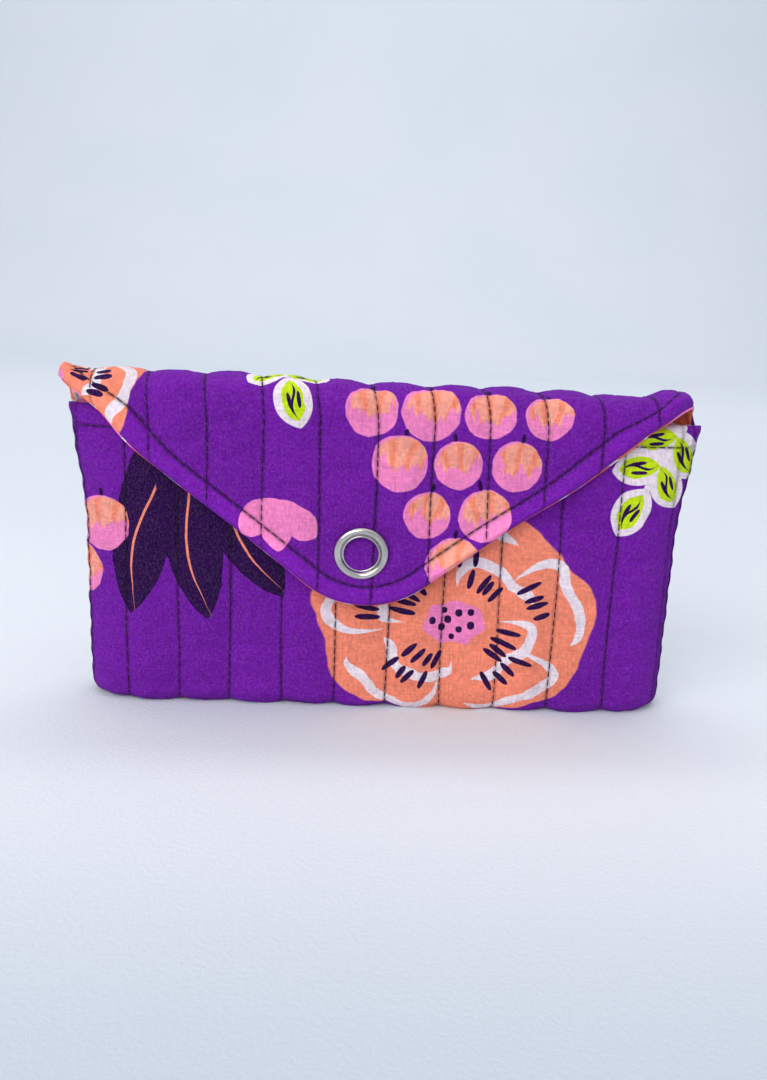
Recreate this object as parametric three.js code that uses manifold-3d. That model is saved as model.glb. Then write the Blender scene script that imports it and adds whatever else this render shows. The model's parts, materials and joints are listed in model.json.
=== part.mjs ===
// A soft pouch glasses case. One quilted strip (printed cotton, batting and lining) is folded up into a pocket with
// sewn sides, and its free end folds over the mouth as an envelope flap that a ring snap holds shut.
// Millimetres. X runs across the pouch, Y from front to back and Z up; the pouch stands on Z = 0.
import * as THREE from 'three';
import { mergeVertices } from 'three/addons/utils/BufferGeometryUtils.js';
import Module from 'manifold-3d';

const wasm = await Module();
wasm.setup();

// ---------------------------------------------------------------- driving dimensions
const STRIP_WIDTH = 181.4; // the strip at the top fold
const SEAM_HALF_WIDTH = 88.3; // the filled pocket draws its side seams in
const MOUTH_FLARE = 3.3; // and they spread again at the mouth
const FLARE_HEIGHT = 34; // over this much of the pocket
const MOUTH_Z = 88; // the front panel's free edge
const HINGE_Z = 86; // where the back panel ends and the top fold begins
const CREST_RISE = 11; // the top fold's crest above HINGE_Z
const FOLD_SQUARENESS = 0.72; // 1 would make the top fold elliptical, and less flattens its top and sides
const CORNER_RADIUS = 5; // the bottom corners, seen from the front

const BASE_HALF_DEPTH = 11.2; // outer face to the middle plane, at the base
const MOUTH_HALF_DEPTH = 8; // and at the mouth
const PANEL_LEAN = Math.atan((BASE_HALF_DEPTH - MOUTH_HALF_DEPTH) / MOUTH_Z);
const SEAM_HALF_DEPTH = 4; // the two panels pressed together at a side seam
const FLAT_HALF_WIDTH = 66; // the faces stay flat across this far from the middle
const BASE_RADIUS = 4; // front and back edges of the base

const LAYERS = [
  { name: 'outer', from: 0, to: 0.6 },
  { name: 'batting', from: 0.8, to: 2.6 },
  { name: 'lining', from: 2.8, to: 3.4 },
];
const QUILT_THICKNESS = 3.4;
const JOIN_GAP = 0.15; // half of the gap where two stretches of the strip meet

const FLAP_CLEARANCE = 1.2; // between the pocket's front and the closed flap, at the mouth
const FLAP_TILT = THREE.MathUtils.degToRad(5); // the snap holds the flap's tip off the pocket
const FLAP_SHIFT = -3; // the top fold lies this far to the left of the pocket
const FLAP_APEX_X = -5.1; // where the flap's two straight edges would cross
const FLAP_APEX_DROP = 59.5; // and how far down the flap that is
const FLAP_EDGE_ANGLE = THREE.MathUtils.degToRad(36.7); // each edge's rise above the level
const FLAP_TIP_RADIUS = 28.4;

const QUILT_PITCH = 15.9; // rows of quilting are 5/8 inch apart
const QUILT_ROWS = 10;
const FIRST_POCKET_ROW_X = -74.8;
const POCKET_ROW_BOW = 2.4; // the middle rows drift to the left by this much
const BACK_ROW_SLANT = 5.7; // the rows lean this far to the right on their way up the back
const FIRST_FLAP_ROW_X = -66.6;
const FLAP_QUILT_ROWS = 9;

const HEM = 6.2; // topstitching to the edge beside it
const SIDE_STITCH_INSET = 3;
const THREAD = 0.35;
const QUILT_THREAD_LIFT = 0.15; // the rows of quilting lie on the cotton
const TOPSTITCH_LIFT = 0.6; // the topstitching crosses above them

const SNAP_X = -6.5;
const SNAP_Z = 49.7;
const SNAP_DROP = (HINGE_Z - SNAP_Z) / Math.cos(FLAP_TILT); // the same, down the flap
const RING_RADIUS = 7.7; // an open-ring snap of the 24-line size
const PRONG_COUNT = 6;
const PRONG_CIRCLE_RADIUS = 6.2;
const PRONG_RADIUS = 0.35;
const PRONG_HOLE_RADIUS = 0.65;

// ---------------------------------------------------------------- materials
const fabric = (color) => new THREE.MeshStandardMaterial({ color, roughness: 0.85, metalness: 0 });
const MATERIALS = {
  outer: fabric(0x6c2098),
  batting: fabric(0xf1eee6),
  lining: fabric(0xe07f62),
  thread: new THREE.MeshStandardMaterial({ color: 0x2e1030, roughness: 0.6, metalness: 0 }),
  nickel: new THREE.MeshStandardMaterial({ color: 0xb9b7b4, roughness: 0.25, metalness: 1 }),
  springSteel: new THREE.MeshStandardMaterial({ color: 0x9a9a9c, roughness: 0.35, metalness: 1 }),
};

// ---------------------------------------------------------------- solids
// Leaves only shared positions in a closed geometry, with its faces turned outwards.
function closed(geometry) {
  const bare = geometry.clone();
  for (const name of ['normal', 'uv']) bare.deleteAttribute(name);
  const merged = mergeVertices(bare, 1e-4);
  const corners = merged.index.array;
  const a = new THREE.Vector3();
  const b = new THREE.Vector3();
  const c = new THREE.Vector3();
  let volume = 0;
  for (let i = 0; i < corners.length; i += 3) {
    a.fromBufferAttribute(merged.attributes.position, corners[i]);
    b.fromBufferAttribute(merged.attributes.position, corners[i + 1]);
    c.fromBufferAttribute(merged.attributes.position, corners[i + 2]);
    volume += a.dot(b.cross(c));
  }
  if (volume < 0) {
    for (let i = 0; i < corners.length; i += 3) {
      [corners[i + 1], corners[i + 2]] = [corners[i + 2], corners[i + 1]];
    }
  }
  return merged;
}

function toManifold(geometry) {
  const { attributes, index } = closed(geometry);
  const vertProperties = attributes.position.array;
  return new wasm.Manifold(new wasm.Mesh({ numProp: 3, vertProperties, triVerts: new Uint32Array(index.array) }));
}

function fromManifold(solid) {
  const { vertProperties, triVerts } = solid.getMesh();
  const geometry = new THREE.BufferGeometry();
  geometry.setAttribute('position', new THREE.BufferAttribute(new Float32Array(vertProperties), 3));
  geometry.setIndex(new THREE.BufferAttribute(new Uint32Array(triVerts), 1));
  return geometry;
}

// A piece of sheet: a box of unit size whose every point (u, v, w) is laid in space by place.
function sheet(columns, rows, from, to, place) {
  const geometry = new THREE.BoxGeometry(1, 1, 1, columns, rows, 1);
  const points = geometry.attributes.position;
  for (let i = 0; i < points.count; i++) {
    const depth = from + (points.getZ(i) + 0.5) * (to - from);
    points.setXYZ(i, ...place(points.getX(i) + 0.5, points.getY(i) + 0.5, depth));
  }
  return closed(geometry);
}

function node(name, geometry, material) {
  const mesh = new THREE.Mesh(geometry, material);
  mesh.name = name;
  return mesh;
}

// ---------------------------------------------------------------- the pocket
const lerp = THREE.MathUtils.lerp;

// Distance of the side seam from the middle, at a height.
function seamX(z) {
  const flare = MOUTH_FLARE * THREE.MathUtils.smoothstep(z, MOUTH_Z - FLARE_HEIGHT, MOUTH_Z);
  const low = Math.max(0, CORNER_RADIUS - z);
  const rounding = CORNER_RADIUS - Math.sqrt(CORNER_RADIUS ** 2 - low ** 2);
  return SEAM_HALF_WIDTH + flare - rounding;
}

// Distance of the outer face from the middle plane Y = 0.
function halfDepth(x, z) {
  const middle = lerp(BASE_HALF_DEPTH, MOUTH_HALF_DEPTH, z / MOUTH_Z);
  const reach = (Math.abs(x) - FLAT_HALF_WIDTH) / (seamX(Math.max(z, CORNER_RADIUS)) - FLAT_HALF_WIDTH);
  const taper = 1 - THREE.MathUtils.clamp(reach, 0, 1) ** 3;
  return SEAM_HALF_DEPTH + (middle - SEAM_HALF_DEPTH) * taper;
}

// A point of the front (side -1) or back (side 1) panel, depth millimetres inside its outer face.
function onPanel(side, x, z, depth) {
  return [x, side * (halfDepth(x, z) - depth), z];
}

// A share of the way from seam to seam. Equal steps of u crowd towards the seams, where the faces curve.
function acrossPocket(u) {
  const even = lerp(-1, 1, u);
  return 1.5 * even - 0.5 * even ** 3;
}

function panel(side, topZ) {
  return (u, v, depth) => {
    const z = lerp(CORNER_RADIUS + JOIN_GAP, topZ, v);
    return onPanel(side, acrossPocket(u) * seamX(z), z, depth);
  };
}

// The base: up to the front panel, round under the pocket and up to the back panel.
function base(u, v, depth) {
  const across = lerp(-1, 1, v);
  const side = Math.sign(across);
  const turn = THREE.MathUtils.clamp((Math.abs(across) - 0.3) / 0.6, 0, 1) * (Math.PI / 2);
  const rise = THREE.MathUtils.clamp((Math.abs(across) - 0.9) / 0.1, 0, 1);
  const x = acrossPocket(u) * seamX(lerp(BASE_RADIUS * (1 - Math.cos(turn)), CORNER_RADIUS, rise));
  const half = halfDepth(x, CORNER_RADIUS);
  const radius = Math.min(BASE_RADIUS, half - 0.3);
  const flat = Math.min(Math.abs(across) / 0.3, 1) * (half - radius);
  const y = flat + (radius - depth) * Math.sin(turn);
  const z = radius - (radius - depth) * Math.cos(turn) + rise * (CORNER_RADIUS - JOIN_GAP - radius);
  return [x, side * y, z];
}

// The rings' prongs go through the quilted layers in these holes, which run along Y.
function prongHoles() {
  const hole = toManifold(new THREE.CylinderGeometry(PRONG_HOLE_RADIUS, PRONG_HOLE_RADIUS, 12, 8));
  const holes = prongAngles().map((angle) => {
    const x = SNAP_X + PRONG_CIRCLE_RADIUS * Math.cos(angle);
    return hole.translate([x, -MOUTH_HALF_DEPTH, SNAP_Z + PRONG_CIRCLE_RADIUS * Math.sin(angle)]);
  });
  return holes.reduce((all, one) => all.add(one));
}

function prongAngles() {
  return Array.from({ length: PRONG_COUNT }, (_, i) => ((i + 0.5) * 2 * Math.PI) / PRONG_COUNT);
}

function pocketRowX(row) {
  return FIRST_POCKET_ROW_X + QUILT_PITCH * row - POCKET_ROW_BOW * Math.sin((Math.PI * row) / (QUILT_ROWS - 1));
}

// A row of stitches that climbs a panel at a fixed distance x(z) from the middle.
function climbingThread(side, x, bottomZ, topZ) {
  return sheet(1, 8, -QUILT_THREAD_LIFT - THREAD, -QUILT_THREAD_LIFT, (u, v, depth) => {
    const z = lerp(bottomZ, topZ, v);
    return onPanel(side, x(z) + lerp(-THREAD, THREAD, u), z, depth);
  });
}

function mouthTopstitch() {
  return sheet(24, 1, -TOPSTITCH_LIFT - THREAD, -TOPSTITCH_LIFT, (u, v, depth) => {
    const z = MOUTH_Z - HEM + lerp(-THREAD, THREAD, v);
    return onPanel(-1, acrossPocket(u) * (seamX(z) - SIDE_STITCH_INSET), z, depth);
  });
}

function pocket() {
  const group = new THREE.Group();
  const holes = prongHoles();
  for (const { name, from, to } of LAYERS) {
    const front = toManifold(sheet(20, 8, from, to, panel(-1, MOUTH_Z)));
    group.add(
      node(`${name}_front_panel`, fromManifold(front.subtract(holes)), MATERIALS[name]),
      node(`${name}_base_fold`, sheet(20, 12, from, to, base), MATERIALS[name]),
      node(`${name}_back_panel`, sheet(20, 8, from, to, panel(1, HINGE_Z - JOIN_GAP)), MATERIALS[name]),
    );
  }
  for (let row = 0; row < QUILT_ROWS; row++) {
    const frontX = () => pocketRowX(row);
    const backX = (z) => pocketRowX(row) + (BACK_ROW_SLANT * (z - CORNER_RADIUS)) / (HINGE_Z - CORNER_RADIUS);
    const front = climbingThread(-1, frontX, CORNER_RADIUS + 1, MOUTH_Z - 1);
    const back = climbingThread(1, backX, CORNER_RADIUS + 1, HINGE_Z - 1);
    group.add(node(`quilt_thread_front_${row + 1}`, front, MATERIALS.thread));
    group.add(node(`quilt_thread_back_${row + 1}`, back, MATERIALS.thread));
  }
  for (const [name, hand] of [['left', -1], ['right', 1]]) {
    const x = (z) => hand * (seamX(z) - SIDE_STITCH_INSET);
    const seam = climbingThread(-1, x, CORNER_RADIUS + 1, MOUTH_Z - HEM - 1);
    group.add(node(`side_seam_thread_${name}`, seam, MATERIALS.thread));
  }
  group.add(node('mouth_topstitch', mouthTopstitch(), MATERIALS.thread));
  return group;
}

// ---------------------------------------------------------------- the top fold
// A squarish arch from the back panel's outer face to the flap's, in two halves that meet at the crest.
const FLAP_FRONT_Y = -(MOUTH_HALF_DEPTH + FLAP_CLEARANCE + QUILT_THICKNESS);

// Limits in X of the top fold, at a height above the flap's hinge line.
function foldLimits(height) {
  const reach = (FLAP_APEX_DROP + height) / Math.tan(FLAP_EDGE_ANGLE);
  const left = Math.max(FLAP_SHIFT - STRIP_WIDTH / 2, FLAP_APEX_X - reach);
  const right = Math.min(FLAP_SHIFT + STRIP_WIDTH / 2, FLAP_APEX_X + reach);
  return [left, right];
}

function fold(startDegrees, endDegrees) {
  return (u, v, depth) => {
    const angle = THREE.MathUtils.degToRad(lerp(startDegrees, endDegrees, v));
    const rise = Math.sin(angle) ** FOLD_SQUARENESS;
    const turned = Math.min(1, angle / (Math.PI / 2));
    const [left, right] = foldLimits(turned < 1 ? CREST_RISE : CREST_RISE * rise);
    const across = (acrossPocket(u) + 1) / 2;
    const x = lerp(lerp(-seamX(HINGE_Z), left, turned), lerp(seamX(HINGE_Z), right, turned), across);
    const backY = halfDepth(x, HINGE_Z);
    const forward = Math.sign(Math.cos(angle)) * Math.abs(Math.cos(angle)) ** FOLD_SQUARENESS;
    const y = (backY + FLAP_FRONT_Y) / 2 + ((backY - FLAP_FRONT_Y) / 2 - depth) * forward;
    return [x, y, HINGE_Z + (CREST_RISE - depth) * rise];
  };
}

function topFold() {
  const group = new THREE.Group();
  const gapDegrees = THREE.MathUtils.radToDeg((JOIN_GAP / CREST_RISE) ** (1 / FOLD_SQUARENESS));
  for (const { name, from, to } of LAYERS) {
    const back = sheet(14, 6, from, to, fold(gapDegrees, 90 - gapDegrees));
    const front = sheet(14, 6, from, to, fold(90 + gapDegrees, 180 - gapDegrees));
    group.add(node(`${name}_fold_back`, back, MATERIALS[name]), node(`${name}_fold_front`, front, MATERIALS[name]));
  }
  return group;
}

// ---------------------------------------------------------------- the flap
// The flap's own frame: X across, Y into the flap from its outer face, Z up the flap to its hinge line.

// The flap's outline, moved inwards by an inset, from hinge line to hinge line round the tip.
function flapOutline(inset) {
  const apexDrop = FLAP_APEX_DROP - inset / Math.cos(FLAP_EDGE_ANGLE);
  const radius = FLAP_TIP_RADIUS - inset;
  const reach = (apexDrop - JOIN_GAP) / Math.tan(FLAP_EDGE_ANGLE);
  const centreDrop = apexDrop - radius / Math.cos(FLAP_EDGE_ANGLE);
  const startAngle = -Math.PI / 2 - FLAP_EDGE_ANGLE;
  const endAngle = -Math.PI / 2 + FLAP_EDGE_ANGLE;
  return { left: FLAP_APEX_X - reach, right: FLAP_APEX_X + reach, centreDrop, radius, startAngle, endAngle };
}

function flapShape() {
  const { left, right, centreDrop, radius, startAngle, endAngle } = flapOutline(0);
  const shape = new THREE.Shape();
  shape.moveTo(right, -JOIN_GAP);
  shape.lineTo(left, -JOIN_GAP);
  shape.absarc(FLAP_APEX_X, -centreDrop, radius, startAngle, endAngle, false);
  for (const angle of prongAngles()) {
    const x = SNAP_X + PRONG_CIRCLE_RADIUS * Math.cos(angle);
    const z = -SNAP_DROP + PRONG_CIRCLE_RADIUS * Math.sin(angle);
    shape.holes.push(new THREE.Path().absarc(x, z, PRONG_HOLE_RADIUS, 0, 2 * Math.PI, true));
  }
  return shape;
}

// Lays an outline drawn in X and Z between two depths of the flap.
function flapPlate(shape, from, to, curveSegments) {
  const plate = new THREE.ExtrudeGeometry(shape, { depth: to - from, bevelEnabled: false, curveSegments });
  return closed(plate.rotateX(Math.PI / 2).translate(0, to, 0));
}

// A band one thread wide that follows the flap's edge.
function flapTopstitch() {
  const outside = flapOutline(HEM - THREAD);
  const inside = flapOutline(HEM + THREAD);
  const band = new THREE.Shape();
  band.moveTo(outside.left, -JOIN_GAP);
  band.absarc(FLAP_APEX_X, -outside.centreDrop, outside.radius, outside.startAngle, outside.endAngle, false);
  band.lineTo(outside.right, -JOIN_GAP);
  band.lineTo(inside.right, -JOIN_GAP);
  band.absarc(FLAP_APEX_X, -inside.centreDrop, inside.radius, inside.endAngle, inside.startAngle, true);
  band.lineTo(inside.left, -JOIN_GAP);
  return flapPlate(band, -TOPSTITCH_LIFT - THREAD, -TOPSTITCH_LIFT, 12);
}

// How far down the flap its edge is, at a distance from the middle.
function flapEdgeDrop(x) {
  const { centreDrop, radius, endAngle } = flapOutline(0);
  const across = Math.abs(x - FLAP_APEX_X);
  if (across < radius * Math.cos(endAngle)) return centreDrop + Math.sqrt(radius ** 2 - across ** 2);
  return FLAP_APEX_DROP - across * Math.tan(FLAP_EDGE_ANGLE);
}

function flapQuiltThread(row) {
  const x = FIRST_FLAP_ROW_X + (QUILT_PITCH + 0.2) * row;
  const end = flapEdgeDrop(x) - 1;
  return sheet(1, 1, -QUILT_THREAD_LIFT - THREAD, -QUILT_THREAD_LIFT, (u, v, depth) => {
    return [x + lerp(-THREAD, THREAD, u), depth, lerp(-end, -1, v)];
  });
}

function flap() {
  const group = new THREE.Group();
  group.position.set(0, FLAP_FRONT_Y, HINGE_Z);
  group.rotation.x = -FLAP_TILT;
  const shape = flapShape();
  for (const { name, from, to } of LAYERS) {
    group.add(node(`${name}_flap`, flapPlate(shape, from, to, 8), MATERIALS[name]));
  }
  group.add(node('flap_topstitch', flapTopstitch(), MATERIALS.thread));
  for (let row = 0; row < FLAP_QUILT_ROWS; row++) {
    group.add(node(`quilt_thread_flap_${row + 1}`, flapQuiltThread(row), MATERIALS.thread));
  }
  group.add(flapHalfOfSnap());
  return group;
}

// ---------------------------------------------------------------- the snap
// Each part turns about its own Y axis. A ring's profile is drawn with the cloth at Y = 0 and its dome at negative Y.
const LATHE_STEPS = 36;

function turned(profile) {
  const points = profile.map(([radius, y]) => new THREE.Vector2(radius, y));
  return closed(new THREE.LatheGeometry([...points, points[0]], LATHE_STEPS));
}

// A prong ring: a half-round bead, a groove and a thin inner lip, with prongs that point along +Y.
function prongRing(prongLength) {
  const innerRadius = 4.75;
  const beadRadius = (RING_RADIUS - 5.4) / 2;
  const bead = Array.from({ length: 9 }, (_, i) => {
    const angle = (i * Math.PI) / 8;
    return [5.4 + beadRadius * (1 - Math.cos(angle)), -0.2 - 1.0 * Math.sin(angle)];
  });
  const lip = [[innerRadius, 0], [innerRadius, -0.45], [5.05, -0.6], [5.3, -0.3]];
  const ring = toManifold(turned([...lip, ...bead, [RING_RADIUS, 0]]));
  const prong = toManifold(new THREE.CylinderGeometry(PRONG_RADIUS, PRONG_RADIUS, prongLength + 0.2, 8));
  const joined = prongAngles().reduce((solid, angle) => {
    const at = [PRONG_CIRCLE_RADIUS * Math.cos(angle), prongLength / 2 - 0.1, PRONG_CIRCLE_RADIUS * Math.sin(angle)];
    return solid.add(prong.translate(at));
  }, ring);
  return fromManifold(joined);
}

// The socket: a dished ring with a groove inside that holds the spring.
function socket() {
  const outside = [[6.2, 0], [6.2, 0.5], [5.2, 0.9], [5.0, 1.45], [4.0, 1.45], [3.9, 1.3]];
  const groove = [[3.9, 1.05], [4.7, 1.05], [4.7, 0.3], [3.9, 0.3], [3.9, 0]];
  return turned([...outside, ...groove]);
}

// A sprung wire ring, open at one side, that grips the stud.
function socketSpring() {
  const gap = THREE.MathUtils.degToRad(40);
  const wireRadius = 0.28;
  const wire = new THREE.Shape().absarc(0, 0, wireRadius, 0, 2 * Math.PI, false);
  const path = new THREE.CurvePath();
  path.getPoint = (t) => {
    const angle = lerp(gap / 2, 2 * Math.PI - gap / 2, t);
    return new THREE.Vector3(4.05 * Math.cos(angle), 0.68, 4.05 * Math.sin(angle));
  };
  path.getPointAt = path.getPoint;
  const wound = new THREE.ExtrudeGeometry(wire, { steps: 36, extrudePath: path, curveSegments: 4 });
  return closed(wound);
}

// The stud: a flange against the cloth and a waisted hollow post.
function stud() {
  const flange = [[6.0, 0], [6.0, -0.35], [4.2, -0.5], [3.1, -0.55]];
  const post = [[3.0, -0.9], [3.3, -1.4], [3.1, -1.75], [2.6, -1.8], [2.4, -1.4], [2.4, 0]];
  return turned([...flange, ...post]);
}

function flapHalfOfSnap() {
  const group = new THREE.Group();
  group.position.set(SNAP_X, 0, -SNAP_DROP);
  const ringLift = QUILT_THREAD_LIFT + THREAD + 0.15;
  const ring = node('snap_cap_ring', prongRing(QUILT_THICKNESS + ringLift + 0.05), MATERIALS.nickel);
  ring.position.y = -ringLift;
  const socketNode = node('snap_socket', socket(), MATERIALS.nickel);
  socketNode.position.y = QUILT_THICKNESS + 0.15;
  const spring = node('snap_socket_spring', socketSpring(), MATERIALS.springSteel);
  spring.position.y = socketNode.position.y;
  return group.add(ring, socketNode, spring);
}

function pocketHalfOfSnap() {
  const group = new THREE.Group();
  const faceY = -halfDepth(SNAP_X, SNAP_Z);
  group.position.set(SNAP_X, faceY, SNAP_Z);
  group.rotation.x = -PANEL_LEAN;
  const studNode = node('snap_stud', stud(), MATERIALS.nickel);
  studNode.position.y = -0.2;
  const ring = node('snap_stud_ring', prongRing(QUILT_THICKNESS + 0.15), MATERIALS.nickel);
  ring.position.y = QUILT_THICKNESS + 0.25;
  ring.rotation.z = Math.PI;
  return group.add(studNode, ring);
}

// ---------------------------------------------------------------- the case
const pouch = new THREE.Group();
pouch.name = 'glasses_pouch';
pouch.add(pocket(), pocketHalfOfSnap(), topFold(), flap());

// The origin is on the surface it stands on, under the middle of its bounding box.
const bounds = new THREE.Box3().setFromObject(pouch, true);
const middle = bounds.getCenter(new THREE.Vector3());
pouch.position.set(-middle.x, -middle.y, -bounds.min.z);

export default pouch;
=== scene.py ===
import json
import math

import bmesh
import bpy
import numpy as np
from mathutils import Matrix, Vector

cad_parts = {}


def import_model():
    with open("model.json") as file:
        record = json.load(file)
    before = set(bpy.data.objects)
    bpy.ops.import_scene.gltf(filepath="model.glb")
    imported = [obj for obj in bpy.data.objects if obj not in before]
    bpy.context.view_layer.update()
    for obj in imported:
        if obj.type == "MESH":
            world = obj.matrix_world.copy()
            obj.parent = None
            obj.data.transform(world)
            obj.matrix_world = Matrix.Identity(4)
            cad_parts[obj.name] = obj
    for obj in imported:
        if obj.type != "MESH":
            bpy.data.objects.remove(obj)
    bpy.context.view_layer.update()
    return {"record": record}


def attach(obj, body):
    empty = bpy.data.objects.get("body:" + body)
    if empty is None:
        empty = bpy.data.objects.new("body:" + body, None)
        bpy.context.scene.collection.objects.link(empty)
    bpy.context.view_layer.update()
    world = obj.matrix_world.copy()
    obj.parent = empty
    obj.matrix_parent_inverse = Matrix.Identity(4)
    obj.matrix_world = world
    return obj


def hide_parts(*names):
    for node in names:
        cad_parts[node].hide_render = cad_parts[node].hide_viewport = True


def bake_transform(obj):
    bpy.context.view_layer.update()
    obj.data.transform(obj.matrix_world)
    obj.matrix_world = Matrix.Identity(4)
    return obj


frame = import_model()
scene = bpy.context.scene
ORIGIN = np.array(frame["record"]["mounts"][0]["pos_m"])  # the base's middle is the drape's own origin

# ---------------------------------------------------------------- dimensions, as in the CAD
SEAM_HALF_WIDTH = 88.3
MOUTH_FLARE = 3.3
FLARE_HEIGHT = 34.0
MOUTH_Z = 88.0
HINGE_Z = 86.0
CREST_RISE = 11.0
CREST_SLOPE = 0.015
FOLD_SQUARENESS = 0.72
CORNER_RADIUS = 5.0
BASE_HALF_DEPTH = 11.2
MOUTH_HALF_DEPTH = 8.0
PANEL_LEAN = math.atan((BASE_HALF_DEPTH - MOUTH_HALF_DEPTH) / MOUTH_Z)
SEAM_HALF_DEPTH = 4.0
FLAT_HALF_WIDTH = 66.0
BASE_RADIUS = 4.0
FLAT_SHARE = 0.3  # the base is flat up to this share of the way from its middle to the panel
TURNED_SHARE = 0.9  # and has turned upright at this share
STRIP_WIDTH = 181.4
FLAP_FRONT_Y = -12.6
FLAP_TILT = math.radians(5)
FLAP_LEAN = 1.18335 * math.tan(FLAP_TILT)  # how far forward the flap comes with each millimetre of drop
FLAP_LEAN_START = 6.0  # the flap turns into that lean over about this much of its drop
FLAP_SHIFT = -3.0
FLAP_APEX_X = -5.1
FLAP_APEX_DROP = 59.5
FLAP_EDGE_ANGLE = math.radians(36.7)
FLAP_TIP_RADIUS = 28.4
SNAP_X = -6.5
SNAP_Z = 49.7
SNAP_DROP = (HINGE_Z - SNAP_Z) / math.cos(FLAP_TILT)
RING_RADIUS = 7.7
QUILT_PITCH = 15.9
FIRST_ROW_X = -74.8
ROW_COUNT = 10
ROW_BOW = 2.4
ROW_DRIFT = 8.2  # each row slants this far to the right on its way up the back and over the fold
HEM = 6.2
SIDE_INSET = 1.6

# The top fold is a squarish arch, and the cloth's length along it is measured from the back's hinge line.
ARCH_ANGLES = np.linspace(0, math.pi, 361)
ARCH_RISE = np.sin(ARCH_ANGLES) ** FOLD_SQUARENESS
ARCH_FORWARD = np.sign(np.cos(ARCH_ANGLES)) * np.abs(np.cos(ARCH_ANGLES)) ** FOLD_SQUARENESS
ARCH_HALF_DEPTH = (MOUTH_HALF_DEPTH - FLAP_FRONT_Y) / 2
ARCH_STEPS = np.hypot(np.diff(ARCH_RISE) * CREST_RISE, np.diff(ARCH_FORWARD) * ARCH_HALF_DEPTH)
ARCH_LENGTHS = np.concatenate([[0], np.cumsum(ARCH_STEPS)])
FOLD_LENGTH = float(ARCH_LENGTHS[-1])

# Places along the strip, measured from the mouth's edge, down the front, up the back and down the flap.
BASE_LENGTH = 28.0
S_BASE = MOUTH_Z - CORNER_RADIUS
S_BACK = S_BASE + BASE_LENGTH
S_FOLD = S_BACK + HINGE_Z - CORNER_RADIUS
S_CREST = S_FOLD + FOLD_LENGTH / 2
S_FLAP = S_FOLD + FOLD_LENGTH
TIP_CENTRE_DROP = FLAP_APEX_DROP - FLAP_TIP_RADIUS / math.cos(FLAP_EDGE_ANGLE)
TIP_DROP = TIP_CENTRE_DROP + FLAP_TIP_RADIUS
TANGENT_DROP = TIP_CENTRE_DROP + FLAP_TIP_RADIUS * math.cos(FLAP_EDGE_ANGLE)
S_TIP = S_FLAP + TIP_DROP

QUILT_DEPTH = 2.7  # outer cotton and batting
LINING_OUTER = 2.75
LINING_INNER = 3.35
PUFF = 1.3  # how far the quilt swells between rows
LEFT_BY_RING = 0.35  # the share of the puff that is left under the snap's ring
LEFT_BY_FLAP = 0.55  # and under the flap
GROOVE = 0.3  # how far the rows sink below the CAD's surface


def smoothstep(value, low, high):
    t = np.clip((value - low) / (high - low), 0, 1)
    return t * t * (3 - 2 * t)


def lerp(a, b, t):
    return a + (b - a) * t


def hump(value, centre, width, height):
    """A smooth rise of this height and width about a centre."""
    return height * np.exp(-(((value - centre) / width) ** 2))


# ---------------------------------------------------------------- the drape
def seam_x(z):
    rounding = CORNER_RADIUS - np.sqrt(CORNER_RADIUS**2 - np.clip(CORNER_RADIUS - z, 0, CORNER_RADIUS) ** 2)
    return SEAM_HALF_WIDTH + MOUTH_FLARE * smoothstep(z, MOUTH_Z - FLARE_HEIGHT, MOUTH_Z) - rounding


def half_depth(x, z):
    middle = lerp(BASE_HALF_DEPTH, MOUTH_HALF_DEPTH, z / MOUTH_Z)
    reach = (np.abs(x) - FLAT_HALF_WIDTH) / (seam_x(np.maximum(z, CORNER_RADIUS)) - FLAT_HALF_WIDTH)
    taper = 1 - np.clip(reach, 0, 1) ** 3
    return SEAM_HALF_DEPTH + (middle - SEAM_HALF_DEPTH) * taper


def base_stages(s):
    """Where a point of the base is: share across, turn round its edge and rise to the panel."""
    across = np.clip((s - S_BASE) / (S_BACK - S_BASE), 0, 1) * 2 - 1
    turn = np.clip((np.abs(across) - FLAT_SHARE) / (TURNED_SHARE - FLAT_SHARE), 0, 1) * math.pi / 2
    rise = np.clip((np.abs(across) - TURNED_SHARE) / (1 - TURNED_SHARE), 0, 1)
    return across, turn, rise


def off_base(s):
    """0 under the pouch, where it is flat on what it stands on, and 1 on its faces."""
    return smoothstep(np.abs(s - (S_BASE + S_BACK) / 2), 5, 13)


def crest_rise(x):
    """The crest's height above the hinge line. It slopes down to the right, and its ends stand up."""
    ends = hump(x, -94, 6, 0.7) + hump(x, 83, 6, 2.2) - hump(x, 67, 7, 0.9)
    return CREST_RISE - 0.5 - CREST_SLOPE * x + ends


def above_hinge(s):
    """Height above the flap's hinge line on the front of the fold, or below it where negative."""
    rise = np.interp(s - S_FOLD, ARCH_LENGTHS, ARCH_RISE)
    return np.select([s < S_CREST, s < S_FLAP], [CREST_RISE + 0 * s, CREST_RISE * rise], S_FLAP - s)


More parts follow.
